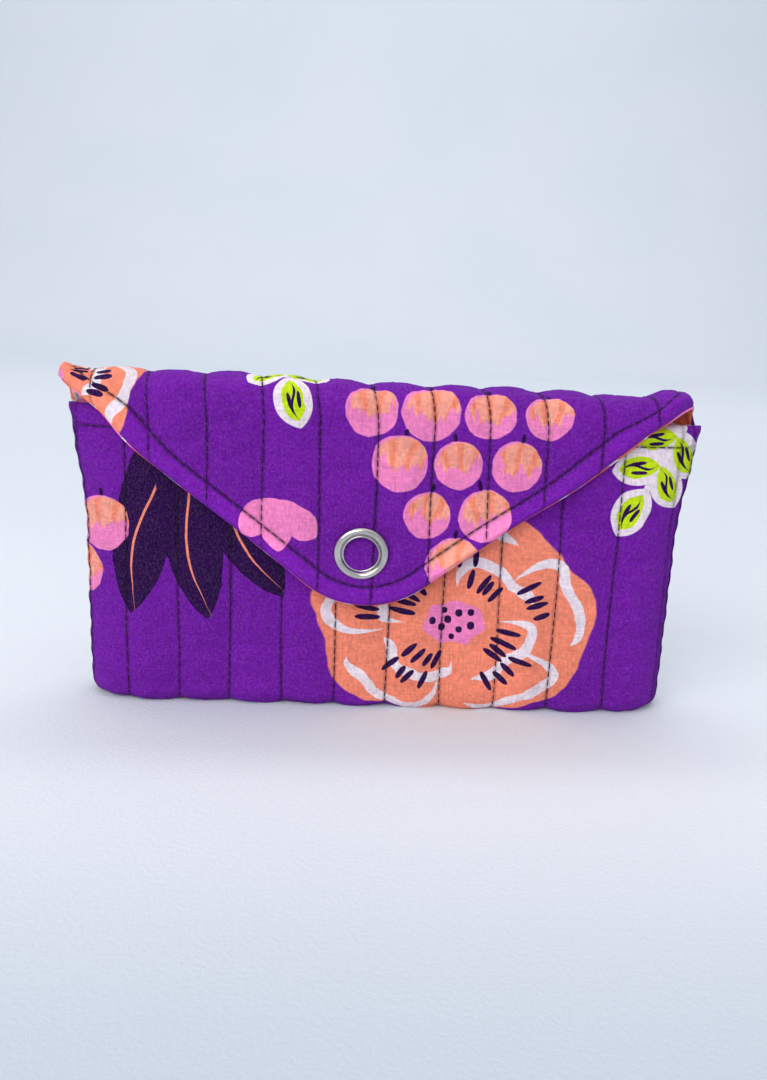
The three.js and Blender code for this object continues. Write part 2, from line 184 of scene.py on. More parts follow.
def place(x, s, depth):
    """The point at x across and s along the strip, depth inside its outer face."""
    x, s, depth = np.broadcast_arrays(*(np.asarray(v, float) for v in (x, s, depth)))
    sway = 0.25 * np.sin(x / 21 + 1.3) * np.sin(s / 27 + 0.4) + 0.2 * np.sin(x / 9.3 + s / 14)
    at_seam = smoothstep(np.abs(x), 70, 86) * smoothstep(s, S_FOLD + 6, S_FOLD - 3)
    depth = depth + sway * off_base(s) * (1 - at_seam)

    z_front = np.clip(MOUTH_Z - s, CORNER_RADIUS, MOUTH_Z + 1)
    y_front = -(half_depth(x, z_front) - depth)

    across, turn, rise = base_stages(s)
    half = half_depth(x, CORNER_RADIUS)
    radius = np.minimum(BASE_RADIUS, half - 0.3)
    y_base = np.minimum(np.abs(across) / FLAT_SHARE, 1) * (half - radius) + (radius - depth) * np.sin(turn)
    z_base = radius - (radius - depth) * np.cos(turn) + rise * (CORNER_RADIUS - radius)
    y_base = np.sign(across) * y_base

    z_back = np.clip(CORNER_RADIUS + s - S_BACK, CORNER_RADIUS, HINGE_Z)
    y_back = half_depth(x, z_back) - depth

    back_y = half_depth(x, HINGE_Z)
    middle, reach = (back_y + FLAP_FRONT_Y) / 2, (back_y - FLAP_FRONT_Y) / 2
    y_fold = middle + (reach - depth) * np.interp(s - S_FOLD, ARCH_LENGTHS, ARCH_FORWARD)
    z_fold = HINGE_Z + (crest_rise(x) - depth) * np.interp(s - S_FOLD, ARCH_LENGTHS, ARCH_RISE)

    drop = np.clip(s - S_FLAP, 0, None)
    lean = FLAP_LEAN * (np.sqrt(drop**2 + FLAP_LEAN_START**2) - FLAP_LEAN_START)
    y_flap = FLAP_FRONT_Y - lean + depth * math.cos(FLAP_TILT)
    z_flap = HINGE_Z - drop * math.cos(FLAP_TILT) + depth * math.sin(FLAP_TILT) * smoothstep(drop, 0, 12)

    stretch = [s < S_BASE, s < S_BACK, s < S_FOLD, s < S_FLAP]
    y = np.select(stretch, [y_front, y_base, y_back, y_fold], y_flap)
    z = np.select(stretch, [z_front, z_base, z_back, z_fold], z_flap)
    return np.stack([x, y, z], axis=-1)


def world(points):
    return points * 0.001 + ORIGIN


def strip_edges(s):
    """The strip's left and right edges at s."""
    s = np.asarray(s, float)
    _, turn, rise = base_stages(s)
    z_base = lerp(BASE_RADIUS * (1 - np.cos(turn)), CORNER_RADIUS, rise)
    z_back = np.minimum(CORNER_RADIUS + s - S_BACK, HINGE_Z)
    z = np.select([s < S_BASE, s < S_BACK], [MOUTH_Z - s, z_base], z_back)
    puckered = 0.16 * np.sin(z / 0.9) + 0.14 * np.sin(z / 2.3 + 1)
    seam = seam_x(z) + puckered * off_base(s)

    height = np.maximum(above_hinge(s), -TANGENT_DROP)
    reach = (FLAP_APEX_DROP + height) / math.tan(FLAP_EDGE_ANGLE)
    drawn_in = 6.6 * smoothstep(height, -13, 7)
    bowed = hump(height, -16, 9, 2.0) - 2.0 * smoothstep(height, -6, 10)
    low, high = FLAP_SHIFT - STRIP_WIDTH / 2, FLAP_SHIFT + STRIP_WIDTH / 2
    turned = np.clip((s - S_FOLD) / (S_CREST - S_FOLD), 0, 1)
    left = lerp(-seam, np.maximum(low, FLAP_APEX_X - reach + drawn_in), turned)
    right = lerp(seam, np.minimum(high, FLAP_APEX_X + reach + bowed), turned)

    drop = s - S_FLAP
    tip_reach = np.sqrt(np.clip(FLAP_TIP_RADIUS**2 - (drop - TIP_CENTRE_DROP) ** 2, 0, None))
    in_tip = drop > TANGENT_DROP
    return np.where(in_tip, FLAP_APEX_X - tip_reach, left), np.where(in_tip, FLAP_APEX_X + tip_reach, right)


def edge_distance(x, s):
    """Distance to the strip's nearest free edge, measured on the cloth."""
    left, right = strip_edges(s)
    slant = lerp(1, math.sin(FLAP_EDGE_ANGLE), smoothstep(s, S_CREST, S_FLAP))
    sides = np.minimum(x - left, right - x) * slant
    past_centre = s - S_FLAP - TIP_CENTRE_DROP
    across = np.abs(x - FLAP_APEX_X)
    in_tip = (past_centre > 0) & (across < past_centre * math.tan(FLAP_EDGE_ANGLE))
    to_arc = FLAP_TIP_RADIUS - np.hypot(across, past_centre)
    return np.clip(np.where(in_tip, to_arc, np.minimum(sides, s)), 0, None)


# ---------------------------------------------------------------- quilting
def row_x(row, s):
    """Where a row of quilting runs. All rows go down the front, up the back and over onto the flap."""
    bow = ROW_BOW * math.sin(math.pi * row / (ROW_COUNT - 1)) * (1 - smoothstep(s, S_FOLD, S_FLAP))
    drift = ROW_DRIFT * np.clip((s - S_BACK) / (S_FLAP - S_BACK), 0, 1)
    return FIRST_ROW_X + QUILT_PITCH * row - bow + drift + 0.25 * np.sin(s / 13 + 2.1 * row)


def row_distance(x, s):
    """Distance to the nearest row and the share of the way between two rows, 0 and 1 on the rows."""
    rows = np.stack([row_x(row, s) + 0 * x for row in range(-1, ROW_COUNT + 2)])
    gaps = np.abs(rows - x)
    below = np.max(np.where(rows <= x, rows, -1e3), axis=0)
    above = np.min(np.where(rows > x, rows, 1e3), axis=0)
    return gaps.min(axis=0), np.clip((x - below) / (above - below), 0, 1)


def topstitch_distance(x, s):
    """Distance to the line of topstitching inside the strip's free edges."""
    inset = lerp(SIDE_INSET, HEM, smoothstep(s, S_FOLD, S_FLAP))
    sides = np.abs(edge_distance(x, np.maximum(s, HEM + 8.0)) - inset)
    mouth = np.where(s < 2 * HEM, np.abs(s - HEM), 1e3)
    return np.minimum(sides, mouth)


SIM_STEP = 1.25  # millimetres between the simulated cloth's points
SIM_SCALE = 0.01  # one millimetre is simulated as a centimetre
SIM_FRAMES = 22
SIM_SETTINGS = {
    "quality": 4,
    "mass": 0.25,
    "tension_stiffness": 12,
    "compression_stiffness": 12,
    "shear_stiffness": 4,
    "bending_stiffness": 0.6,
    "vertex_group_mass": "stitches",
    "shrink_min": -0.035,
    "use_pressure": True,
    "uniform_pressure_force": 2.2,
}


def grid_faces(lines, columns):
    """The four-sided faces between the points of a grid."""
    corner = (np.arange(lines - 1)[:, None] * columns + np.arange(columns - 1)[None, :]).ravel()
    return np.stack([corner, corner + 1, corner + columns + 1, corner + columns], axis=1)


def simulate_puffs(name, s_from, s_to):
    """Inflates a flat cloth held at its stitches. Returns its grid's lines and its heights, about 0 to 1."""
    half = STRIP_WIDTH / 2 + 8
    xs = np.arange(-half, half + SIM_STEP / 2, SIM_STEP)
    ss = np.arange(s_from, s_to + SIM_STEP / 2, SIM_STEP)
    grid_x, grid_s = np.meshgrid(xs, ss)
    seam = np.minimum(row_distance(grid_x, grid_s)[0], topstitch_distance(grid_x, grid_s))
    held = seam < SIM_STEP * 0.55
    rng = np.random.default_rng(11)
    height = 0.15 * rng.standard_normal(grid_x.shape)
    height[held] = 0
    points = np.stack([grid_x, grid_s, height], axis=-1).reshape(-1, 3) * SIM_SCALE
    mesh = bpy.data.meshes.new(name)
    mesh.from_pydata(points.tolist(), [], grid_faces(len(ss), len(xs)).tolist())
    cloth = bpy.data.objects.new(name, mesh)
    scene.collection.objects.link(cloth)
    pins = cloth.vertex_groups.new(name="stitches")
    pins.add([int(i) for i in np.flatnonzero(held.ravel())], 1.0, "REPLACE")
    modifier = cloth.modifiers.new("Cloth", "CLOTH")
    for key, value in SIM_SETTINGS.items():
        setattr(modifier.settings, key, value)
    modifier.settings.effector_weights.gravity = 0
    modifier.point_cache.frame_start = 1
    modifier.point_cache.frame_end = SIM_FRAMES
    for step in range(1, SIM_FRAMES + 1):
        scene.frame_set(step)
    shaped = cloth.evaluated_get(bpy.context.evaluated_depsgraph_get())
    heights = np.zeros(len(points) * 3)
    shaped.data.vertices.foreach_get("co", heights)
    heights = heights.reshape(-1, 3)[:, 2].reshape(grid_x.shape) / SIM_SCALE
    bpy.data.objects.remove(cloth)
    scene.frame_set(1)
    return xs, ss, np.clip(heights / np.percentile(heights[~held], 85), -0.4, 1.6)


def sampler(xs, ss, values):
    """Reads a grid of values between its points."""

    def read(x, s):
        column = np.clip((x - xs[0]) / (xs[1] - xs[0]), 0, len(xs) - 1.001)
        line = np.clip((s - ss[0]) / (ss[1] - ss[0]), 0, len(ss) - 1.001)
        i, j = column.astype(int), line.astype(int)
        u, v = column - i, line - j
        low = lerp(values[j, i], values[j, i + 1], u)
        high = lerp(values[j + 1, i], values[j + 1, i + 1], u)
        return lerp(low, high, v)

    return read


swell = sampler(*simulate_puffs("quilt_simulation", 0.0, S_TIP + 4))


def relief(x, s):
    """How far the quilt stands out from its grooves."""
    at_edge = smoothstep(edge_distance(x, s), 0, 2.5)
    drop = s - S_FLAP
    from_snap = np.hypot(x - SNAP_X, drop - SNAP_DROP)
    at_ring = lerp(LEFT_BY_RING, 1, smoothstep(from_snap, RING_RADIUS - 0.5, RING_RADIUS + 4))
    under_flap = edge_distance(x, S_FLAP + np.maximum(s - MOUTH_Z + HINGE_Z, 0)) * (s < S_BASE)
    pressed = lerp(1, LEFT_BY_FLAP, smoothstep(under_flap, 0, 7))
    stands_out = PUFF * swell(x, s) * at_edge * at_ring * pressed
    return np.minimum(stands_out, lerp(GROOVE - 0.02, 9, off_base(s)))


EDGE_ROUNDING = 2.3


def edge_round(x, s):
    """0 at a free edge and 1 inside it, along a quarter of a circle."""
    inward = np.clip(edge_distance(x, s) / EDGE_ROUNDING, 0, 1)
    return np.sqrt(1 - (1 - inward) ** 2)


def inner_limit(x, s):
    """The most depth the cloth may take before it meets the opposite panel."""
    z = np.where(s < S_BASE, MOUTH_Z - s, np.minimum(CORNER_RADIUS + s - S_BACK, HINGE_Z))
    half = half_depth(x, np.clip(z, CORNER_RADIUS, MOUTH_Z))
    return np.where(s < S_FOLD, half - 0.3, 99.0)


def edge_depth(x, s):
    """How deep the outer face goes at the strip's edge: to the pocket's seam, or to the flap's lining."""
    off_floor = np.minimum(inner_limit(x, s) + 0.3, SEAM_HALF_DEPTH + 0.6)
    to_seam = lerp(SEAM_HALF_DEPTH, off_floor, off_base(s)) - 0.03
    unseamed = np.maximum(smoothstep(s, S_FOLD - 6, S_FOLD), smoothstep(s, 3, 1))
    return lerp(to_seam, QUILT_DEPTH, unseamed)


def outer_depth(x, s):
    return lerp(edge_depth(x, s), GROOVE, edge_round(x, s)) - relief(x, s)


def quilt_inner_depth(x, s):
    inside = np.minimum(QUILT_DEPTH, inner_limit(x, s) - 0.3)
    at_edge = np.maximum(inside, edge_depth(x, s) + 0.02)
    return lerp(at_edge, inside, smoothstep(edge_distance(x, s), 0.2, 1.6))


def lining_outer_depth(x, s):
    return np.minimum(LINING_OUTER, inner_limit(x, s) - 0.25)


def lining_inner_depth(x, s):
    roll = 1 - np.clip((edge_distance(x, s) + 0.3) / 1.2, 0, 1)
    swollen = LINING_INNER + 0.25 * relief(x, s) / PUFF * smoothstep(inner_limit(x, s), 4, 6)
    return lerp(np.minimum(swollen, inner_limit(x, s)), lining_outer_depth(x, s), roll**2)


# ---------------------------------------------------------------- meshes
FINE_INSETS = [0.0, 0.12, 0.4, 0.85, 1.45, 2.2]
FINE_BAND = 3.0
GRID_STEP = 1.0


def from_edges(width):
    """Places across a width that are fine at both edges."""
    inner = np.linspace(FINE_BAND, width - FINE_BAND, int((width - 2 * FINE_BAND) / GRID_STEP) + 1)
    return np.concatenate([FINE_INSETS, inner, width - np.array(FINE_INSETS[::-1])])


def rows_between(start, stop, step=GRID_STEP, fine_start=False, fine_stop=False):
    low = start + (FINE_BAND if fine_start else 0.0)
    high = stop - (FINE_BAND if fine_stop else 0.0)
    places = [np.linspace(low, high, max(2, int(round((high - low) / step)) + 1))]
    if fine_start:
        places.insert(0, start + np.array(FINE_INSETS))
    if fine_stop:
        places.append(stop - np.array(FINE_INSETS[::-1]))
    return np.concatenate(places)


def make_object(name, points, faces):
    mesh = bpy.data.meshes.new(name)
    mesh.from_pydata(points.tolist(), [], faces)
    mesh.validate()
    mesh.polygons.foreach_set("use_smooth", [True] * len(mesh.polygons))
    made = bpy.data.objects.new(name, mesh)
    scene.collection.objects.link(made)
    return made


def set_attribute(mesh, name, values):
    """Gives each of a mesh's points three values."""
    attribute = mesh.attributes.new(name, "FLOAT_VECTOR", "POINT")
    attribute.data.foreach_set("vector", np.asarray(values, np.float32).ravel())


FAR_FROM_SEAM = 30.0


def cloth_sheet(name, s_rows, outer, inner, widen=None):
    """A closed sheet from one face's depth to the other's, over the strip between two places."""
    share = from_edges(STRIP_WIDTH) / STRIP_WIDTH
    left, right = strip_edges(s_rows)
    x = left[:, None] + share[None, :] * (right - left)[:, None]
    s = np.repeat(s_rows[:, None], len(share), axis=1)
    x_held = x
    if widen is not None:
        x, s = widen(x, s)
    lines, columns = x.shape
    depths = [outer(x_held, s), inner(x_held, s)]
    top, bottom = (place(x, s, depth).reshape(-1, 3) for depth in depths)
    count = len(top)
    index = np.arange(count).reshape(lines, columns)
    under = grid_faces(lines, columns)
    border = np.concatenate([index[0, :], index[1:, -1], index[-1, -2::-1], index[-2:0:-1, 0]])
    following = np.roll(border, -1)
    rim = np.stack([border, following, following + count, border + count], 1)
    faces = np.concatenate([under[:, [0, 3, 2, 1]], under + count, rim])
    made = make_object(name, world(np.concatenate([top, bottom])), faces.tolist())
    flat_x, flat_s = np.tile(x.ravel(), 2), np.tile(s.ravel(), 2)
    set_attribute(made.data, "strip", np.stack([flat_x, flat_s, np.stack(depths).ravel()], 1))
    rows_gap = np.minimum(row_distance(x, s)[0], FAR_FROM_SEAM)
    hem_gap = np.minimum(topstitch_distance(x, s), FAR_FROM_SEAM)
    gaps = np.stack([rows_gap, hem_gap, edge_distance(x, s)], -1).reshape(-1, 3)
    set_attribute(made.data, "seams", np.tile(gaps, (2, 1)))
    return made


def clean(piece):
    """Merges the points that meet at a rolled edge or a tip, and turns all faces outwards."""
    work = bmesh.new()
    work.from_mesh(piece.data)
    bmesh.ops.remove_doubles(work, verts=work.verts, dist=2e-6)
    bmesh.ops.dissolve_degenerate(work, edges=work.edges, dist=1e-6)
    bmesh.ops.recalc_face_normals(work, faces=work.faces)
    work.to_mesh(piece.data)
    work.free()


pocket_rows = np.concatenate([
    rows_between(0, S_BASE, fine_start=True)[:-1],
    rows_between(S_BASE, S_BACK, 0.9)[:-1],
    rows_between(S_BACK, S_FOLD)[:-1],
    rows_between(S_FOLD, S_CREST, 0.9),
])
flap_rows = np.concatenate([
    rows_between(S_CREST, S_FLAP, 0.9)[:-1],
    rows_between(S_FLAP, S_TIP, fine_stop=True),
])
pocket_quilt = cloth_sheet("pocket_quilt", pocket_rows, outer_depth, quilt_inner_depth)
flap_quilt = cloth_sheet("flap_quilt", flap_rows, outer_depth, quilt_inner_depth)


def peeking(x, s):
    """The lining stands a little out of the flap's edge, and stops short of the side seams."""
    left, right = strip_edges(s)
    middle = (left + right) / 2
    reach = np.maximum((right - left) / 2, 0.01)
    uneven = 0.35 + 0.22 * np.sin(s / 7.1) + 0.12 * np.sin(s / 2.3) + 0.35 * smoothstep(x, 0, 50)
    peek = lerp(-1.7, uneven, smoothstep(s, S_FOLD - 2, S_CREST - 4))
    share = (x - middle) / reach
    at_side = np.clip(np.abs(share) * 8 - 7, 0, 1)
    return x + np.sign(share) * at_side * peek, s + 0.3 * smoothstep(s, S_TIP - 3, S_TIP)


pocket_lining = cloth_sheet("pocket_lining", pocket_rows, lining_outer_depth, lining_inner_depth, peeking)
flap_lining = cloth_sheet("flap_lining", flap_rows, lining_outer_depth, lining_inner_depth, peeking)
for piece in (pocket_quilt, flap_quilt, pocket_lining, flap_lining):
    clean(piece)

# ---------------------------------------------------------------- stitches
STITCH_PITCH = 2.7
STITCH_LENGTH = 2.56
STITCH_SINK = 0.36  # how far a stitch's ends go down into the cloth
STITCH_RISE = 0.42  # and how far its middle stands above them
THREAD_RADIUS = 0.17
TUBE_SIDES = 6
STITCH_POINTS = 7


def skin(count, sides, first=0, closed=False):
    """The faces over a number of hoops of points: a tube with ends, or a ring that closes on itself."""
    faces = []
    for i in range(count if closed else count - 1):
        here, ahead = first + i * sides, first + (i + 1) % count * sides
        for j in range(sides):
            beside = (j + 1) % sides
            faces.append([here + j, here + beside, ahead + beside, ahead + j])
    if not closed:
        faces.append([first + j for j in reversed(range(sides))])
        faces.append([first + (count - 1) * sides + j for j in range(sides)])
    return faces


def surface(x, s, out):
    """A point this far out of the quilt's grooved surface, and the direction out of it."""
    depth = outer_depth(x, s)
    here = place(x, s, depth - out)
    outwards = place(x, s, depth - out - 0.5) - here
    return here, outwards / np.linalg.norm(outwards, axis=-1, keepdims=True)


def stitch_line(name, path_x, path_s, seed=0):
    """Separate stitches along a path on the strip, each a short tube whose ends go down into the cloth."""
    rng = np.random.default_rng(seed)
    length = np.concatenate([[0], np.cumsum(np.hypot(np.diff(path_x), np.diff(path_s)))])
    starts = np.arange(0.3, length[-1] - STITCH_LENGTH, STITCH_PITCH)
    turn = np.arange(TUBE_SIDES) * 2 * math.pi / TUBE_SIDES
    points, faces = [], []
    for start in starts:
        start = start + rng.uniform(-0.12, 0.12)
        t = np.linspace(0, 1, STITCH_POINTS)
        along = start + t * STITCH_LENGTH
        x = np.interp(along, length, path_x) + (t - 0.5) * rng.uniform(-0.15, 0.15)
        s = np.interp(along, length, path_s)
        arch = 1 - (2 * t - 1) ** 8
        centre, outwards = surface(x, s, STITCH_RISE * arch - STITCH_SINK)
        ahead = np.gradient(centre, axis=0)
        ahead /= np.linalg.norm(ahead, axis=1, keepdims=True)
        sideways = np.cross(ahead, outwards)
        outwards = np.cross(sideways, ahead)
        radius = THREAD_RADIUS * (0.55 + 0.45 * np.sqrt(arch))[:, None, None]
        across, up = np.cos(turn)[None, :, None], np.sin(turn)[None, :, None]
        hoop = sideways[:, None, :] * across + outwards[:, None, :] * up
        faces += skin(STITCH_POINTS, TUBE_SIDES, len(points) * STITCH_POINTS * TUBE_SIDES)
        points.append((centre[:, None, :] + radius * hoop).reshape(-1, 3))
    made = make_object(name, world(np.concatenate(points)), faces)
    clean(made)
    return made


def row_path(row, s_from, s_to):
    s = np.linspace(s_from, s_to, 200)
    return row_x(row, s), s


def side_path(hand, s_from, s_to):
    """Along the left (-1) or right (1) side at the topstitching's inset."""
    s = np.linspace(s_from, s_to, 200)
    left, right = strip_edges(s)
    slant = lerp(1, math.sin(FLAP_EDGE_ANGLE), smoothstep(s, S_CREST, S_FLAP))
    inset = lerp(SIDE_INSET, HEM, smoothstep(s, S_FOLD, S_FLAP)) / slant
    return np.where(hand < 0, left + inset, right - inset), s


def flap_topstitch_path():
    """Down the left side of the flap, round its tip and up the right side."""
    radius = FLAP_TIP_RADIUS - HEM
    centre_s = S_FLAP + TIP_CENTRE_DROP
    side = (S_CREST + SHORT_OF_CREST, centre_s + radius * math.cos(FLAP_EDGE_ANGLE))
    left_x, left_s = side_path(-1, *side)
    right_x, right_s = side_path(1, *side)
    turn = np.linspace(-FLAP_EDGE_ANGLE, FLAP_EDGE_ANGLE, 60)[1:-1]
    tip_x, tip_s = FLAP_APEX_X + radius * np.sin(turn), centre_s + radius * np.cos(turn)
    return np.concatenate([left_x, tip_x, right_x[::-1]]), np.concatenate([left_s, tip_s, right_s[::-1]])


def join(name, pieces):
    bpy.ops.object.select_all(action="DESELECT")
    for piece in pieces:
        piece.select_set(True)
    bpy.context.view_layer.objects.active = pieces[0]
    bpy.ops.object.join()
    pieces[0].name = pieces[0].data.name = name
    return pieces[0]


def row_end_s(row):
    """Where a row of quilting runs off the flap's edge."""
    s = np.linspace(S_CREST, S_TIP, 400)
    inside = edge_distance(row_x(row, s), s) > 0.9
    return s[inside][-1] if inside.any() else S_CREST


ONTO_BASE = 6.5  # the rows of quilting run on under the pouch this far
SHORT_OF_CREST = 0.4


def quilting(name, row_numbers, start, stop, first_seed):
    """All the rows of one stretch, joined. The stop is a place, or what gives each row's own."""
    lines = []
    for row in row_numbers:
        path = row_path(row, start, stop(row) if callable(stop) else stop)
        lines.append(stitch_line("row", *path, seed=first_seed + row))
    return join(name, lines)


flap_row_numbers = [row for row in range(-1, ROW_COUNT) if row_end_s(row) > S_CREST + 4]
quilting_front = quilting("quilting_front", range(ROW_COUNT), 1.2, S_BASE + ONTO_BASE, 0)
quilting_back = quilting("quilting_back", range(ROW_COUNT), S_BACK - ONTO_BASE, S_CREST - SHORT_OF_CREST, 20)
quilting_flap = quilting("quilting_flap", flap_row_numbers, S_CREST + SHORT_OF_CREST, row_end_s, 40)
side_seams = join("side_seams", [
    stitch_line("seam", *side_path(hand, start, stop), seed=60 + hand)
    for hand in (-1, 1)
    for start, stop in ((HEM, S_BASE), (S_BACK, S_CREST - SHORT_OF_CREST))
])
mouth_x = np.linspace(-SEAM_HALF_WIDTH + 1, SEAM_HALF_WIDTH - 1, 300)
mouth_stitching = stitch_line("mouth_stitching", mouth_x, np.full_like(mouth_x, HEM), seed=70)
flap_stitching = stitch_line("flap_stitching", *flap_topstitch_path(), seed=71)

# ---------------------------------------------------------------- the snap
LATHE_STEPS = 96


def beside_snap(name, x, y, z, tilt, centre, faces):
    """An object of points about the snap's axis, tilted as what holds it is and moved to a centre."""
    local = [x, y * math.cos(tilt) + z * math.sin(tilt), z * math.cos(tilt) - y * math.sin(tilt)]
    points = (np.stack(local, -1) + np.array(centre)).reshape(-1, 3)
    made = make_object(name, world(points), faces)
    clean(made)
    return made


def lathe(name, profile, centre, tilt):
    """Turns a closed profile of (radius, height towards the viewer) about the snap's axis."""
    radius, out = np.array(profile).T
    turn = np.arange(LATHE_STEPS) * 2 * math.pi / LATHE_STEPS
    x = radius[None, :] * np.cos(turn)[:, None]
    z = radius[None, :] * np.sin(turn)[:, None]
    y = np.repeat(-out[None, :], LATHE_STEPS, axis=0)
    return beside_snap(name, x, y, z, tilt, centre, skin(LATHE_STEPS, len(profile), closed=True))


def arc(centre, radius, start, stop, count):
    """Points of (radius, height) on an arc of the profile, by angle in degrees."""
    angles = np.radians(np.linspace(start, stop, count))
    return [(centre[0] + radius * math.cos(a), centre[1] + radius * math.sin(a)) for a in angles]


def on_flap(out):
    """The point on the snap's axis this far in front of the flap's outer face."""
    return (
        SNAP_X,
        FLAP_FRONT_Y - SNAP_DROP * math.sin(FLAP_TILT) - out * math.cos(FLAP_TILT),
        SNAP_Z + out * math.sin(FLAP_TILT),
    )


def on_pocket(out):
    return (SNAP_X, -float(half_depth(SNAP_X, SNAP_Z)) - out, SNAP_Z)


BEAD_RADIUS = 1.1
ring_profile = (
    [(4.95, -0.15), (4.95, 0.75)]
    + arc((5.18, 0.8), 0.23, 180, 20, 7)
    + [(5.42, 0.5), (5.56, 0.42)]
    + arc((RING_RADIUS + 0.15 - BEAD_RADIUS, 0.55), BEAD_RADIUS, 176, 8, 22)
    + [(RING_RADIUS + 0.2, 0.1), (RING_RADIUS + 0.12, -0.15)]
)
cap_ring = lathe("cap_ring", ring_profile, on_flap(0.35), -FLAP_TILT)
backing_profile = [(r, -h) for r, h in reversed(ring_profile)]
stud_ring = lathe("stud_ring", backing_profile, on_pocket(-3.75), -PANEL_LEAN)
socket_profile = (
    [(6.2, -0.05), (6.2, -0.45), (6.0, -0.6), (5.4, -0.8)]
    + arc((4.8, -1.2), 0.28, 40, -90, 6)
    + [(4.1, -1.48), (3.92, -1.3), (3.9, -1.05), (4.7, -1.05), (4.7, -0.3), (3.9, -0.3), (3.9, -0.05)]
)
socket = lathe("snap_socket_cup", socket_profile, on_flap(-3.55), -FLAP_TILT)
stud_profile = (
    [(6.0, 0.0), (6.0, 0.3), (5.6, 0.42), (4.2, 0.5), (3.3, 0.58)]
    + arc((3.0, 0.85), 0.12, -60, -170, 4)
    + arc((2.85, 1.4), 0.42, -20, 100, 8)
    + [(2.55, 1.7), (2.4, 1.35), (2.4, 0.0)]
)
stud = lathe("snap_stud_post", stud_profile, on_pocket(0.2), -PANEL_LEAN)


def spring_wire():
    """The socket's sprung wire: a ring that is open at one side."""
    wire_radius, ring_radius, gap, sides = 0.28, 4.05, math.radians(40), 10
    around = np.linspace(gap / 2, 2 * math.pi - gap / 2, 60)
    turn = np.arange(sides) * 2 * math.pi / sides
    radius = ring_radius + wire_radius * np.cos(turn)[None, :]
    x, z = radius * np.cos(around)[:, None], radius * np.sin(around)[:, None]
    y = np.repeat(wire_radius * np.sin(turn)[None, :], len(around), axis=0)
    faces = skin(len(around), sides)
    return beside_snap("socket_spring_wire", x, y, z, -FLAP_TILT, on_flap(-4.23), faces)


spring = spring_wire()

# ---------------------------------------------------------------- the print
# Each printed motif is drawn in coordinates of its own, which the cloth's points carry. "Up" is towards
# smaller s. Motifs that come near each other are in different layers, and each layer has its own attributes.
PURPLE = (0.142, 0.0070, 0.304)
PLUM = (0.021, 0.0012, 0.052)
CORAL = (0.83, 0.235, 0.145)
PINK = (0.80, 0.21, 0.47)
PALE = (0.76, 0.655, 0.72)
BLUSH = (0.84, 0.32, 0.24)
LIME = (0.50, 0.68, 0.005)
RUST = (0.80, 0.15, 0.075)
# pale fuzz on the cotton, also painted sheen on fibres that catch the light
LINT_AND_SHEEN = (0.85, 0.72, 0.85)

# The print's own layout: sprays of plain leaves, sprigs, hanging bunches of berries and round flowers.
# A kind of leaf: its colour, its vein's colour and half-width, and the width of its pale border.
DARK_LEAF = (PLUM, CORAL, 0.36, 0)
PINK_LEAF = (PINK, CORAL, 0, 0)
LIME_LEAF = (LIME, PLUM, 0.42, 2.2)
BERRY_PITCH = 16.5
BERRY_DROP = 14.5
BERRY_RADIUS = 7.6
SPRIG_SPACING = 9.5
SPRIG_SPREAD = 55


def spray(x, s, leans, length, half_width, kind, bend=0.15):
    """Leaves from one point, each at an angle from straight along the strip: both ends, shape and kind."""
    turns = [math.radians(lean) for lean in leans]
    return [
        (x, s, x + length * math.sin(turn), s + length * math.cos(turn), half_width, bend, *kind)
        for turn in turns
    ]


def sprig(x, s, lean, pairs=2):
    """Lime leaves in pairs along a straight stem and one at its tip, then the stem: points, half-width."""
    along = np.array([math.sin(math.radians(lean)), math.cos(math.radians(lean))])
    points = [np.array([x, s]) + along * SPRIG_SPACING * (k + 0.6) for k in range(pairs + 1)]
    leaves = []
    for point in points[:-1]:
        leaves += spray(*point, (lean - SPRIG_SPREAD, lean + SPRIG_SPREAD), 12.0, 3.2, LIME_LEAF, 0.1)
    leaves += spray(*points[-1], (lean,), 12.0, 3.2, LIME_LEAF, 0.1)
    return leaves, ([(x, s), *(tuple(point) for point in points)], 1.8)


def bunch(x, s, rows, down):
    """Berries in rows that each have one fewer than the row above: x, s, radius and lean in degrees."""
    return [
        (
            x + BERRY_PITCH * (k - (rows - 1 - row) / 2),
            s + down * BERRY_DROP * row,
            BERRY_RADIUS + 0.8 * math.sin(2.4 * row + 1.7 * k),
            12 * math.sin(3.1 * k + row),
        )
        for row in range(rows)
        for k in range(rows - row)
    ]


PLAIN_LEAVES = spray(-60, -4, (-12, 8, 28), 66, 8.6, DARK_LEAF)
PLAIN_LEAVES += spray(-30, S_FLAP + 22, (-45, 0, 45), 15, 4.4, PINK_LEAF)
PLAIN_LEAVES += spray(58, S_BACK + 14, (-20, 0, 20), 56, 8.0, DARK_LEAF)
SPRIGS = [sprig(86, -2, -28), sprig(-34, S_CREST - 18, 14), sprig(-66, S_BACK + 14, 12)]
SPRIG_LEAVES = [leaf for leaves, _ in SPRIGS for leaf in leaves]
LEAVES = PLAIN_LEAVES + SPRIG_LEAVES
BERRIES = bunch(20, S_FLAP - 4, 4, 1) + bunch(-90, 34, 2, 1) + bunch(22, S_BACK + 66, 3, -1)

# A flower: centre x, s, half-width, half-height, and how far it is turned, in degrees.
FLOWERS = [(22, 60, 42, 33, 20), (-97, S_CREST + 6, 28, 26, 60), (-22, S_BACK + 34, 33, 27, 0)]
PETAL_RINGS = [(0.88, 5, 0.0), (0.56, 4, 38.0)]  # reach, number of petals, turn in degrees

# Pale stems: the points of each, and half its width.
STEMS = [stem for _, stem in SPRIGS]
PETAL_LINE_HALF_WIDTH = 1.65
TICK_HALF_WIDTH = 0.86
SPRIG_TICK_HALF_WIDTH = 0.55
STALK_HALF_WIDTH = 0.62
SPARE = 1.5  # the cloth carries a motif's coordinates this far outside it
NOWHERE = (9.0, 9.0, 0.0)  # coordinates that are in no motif


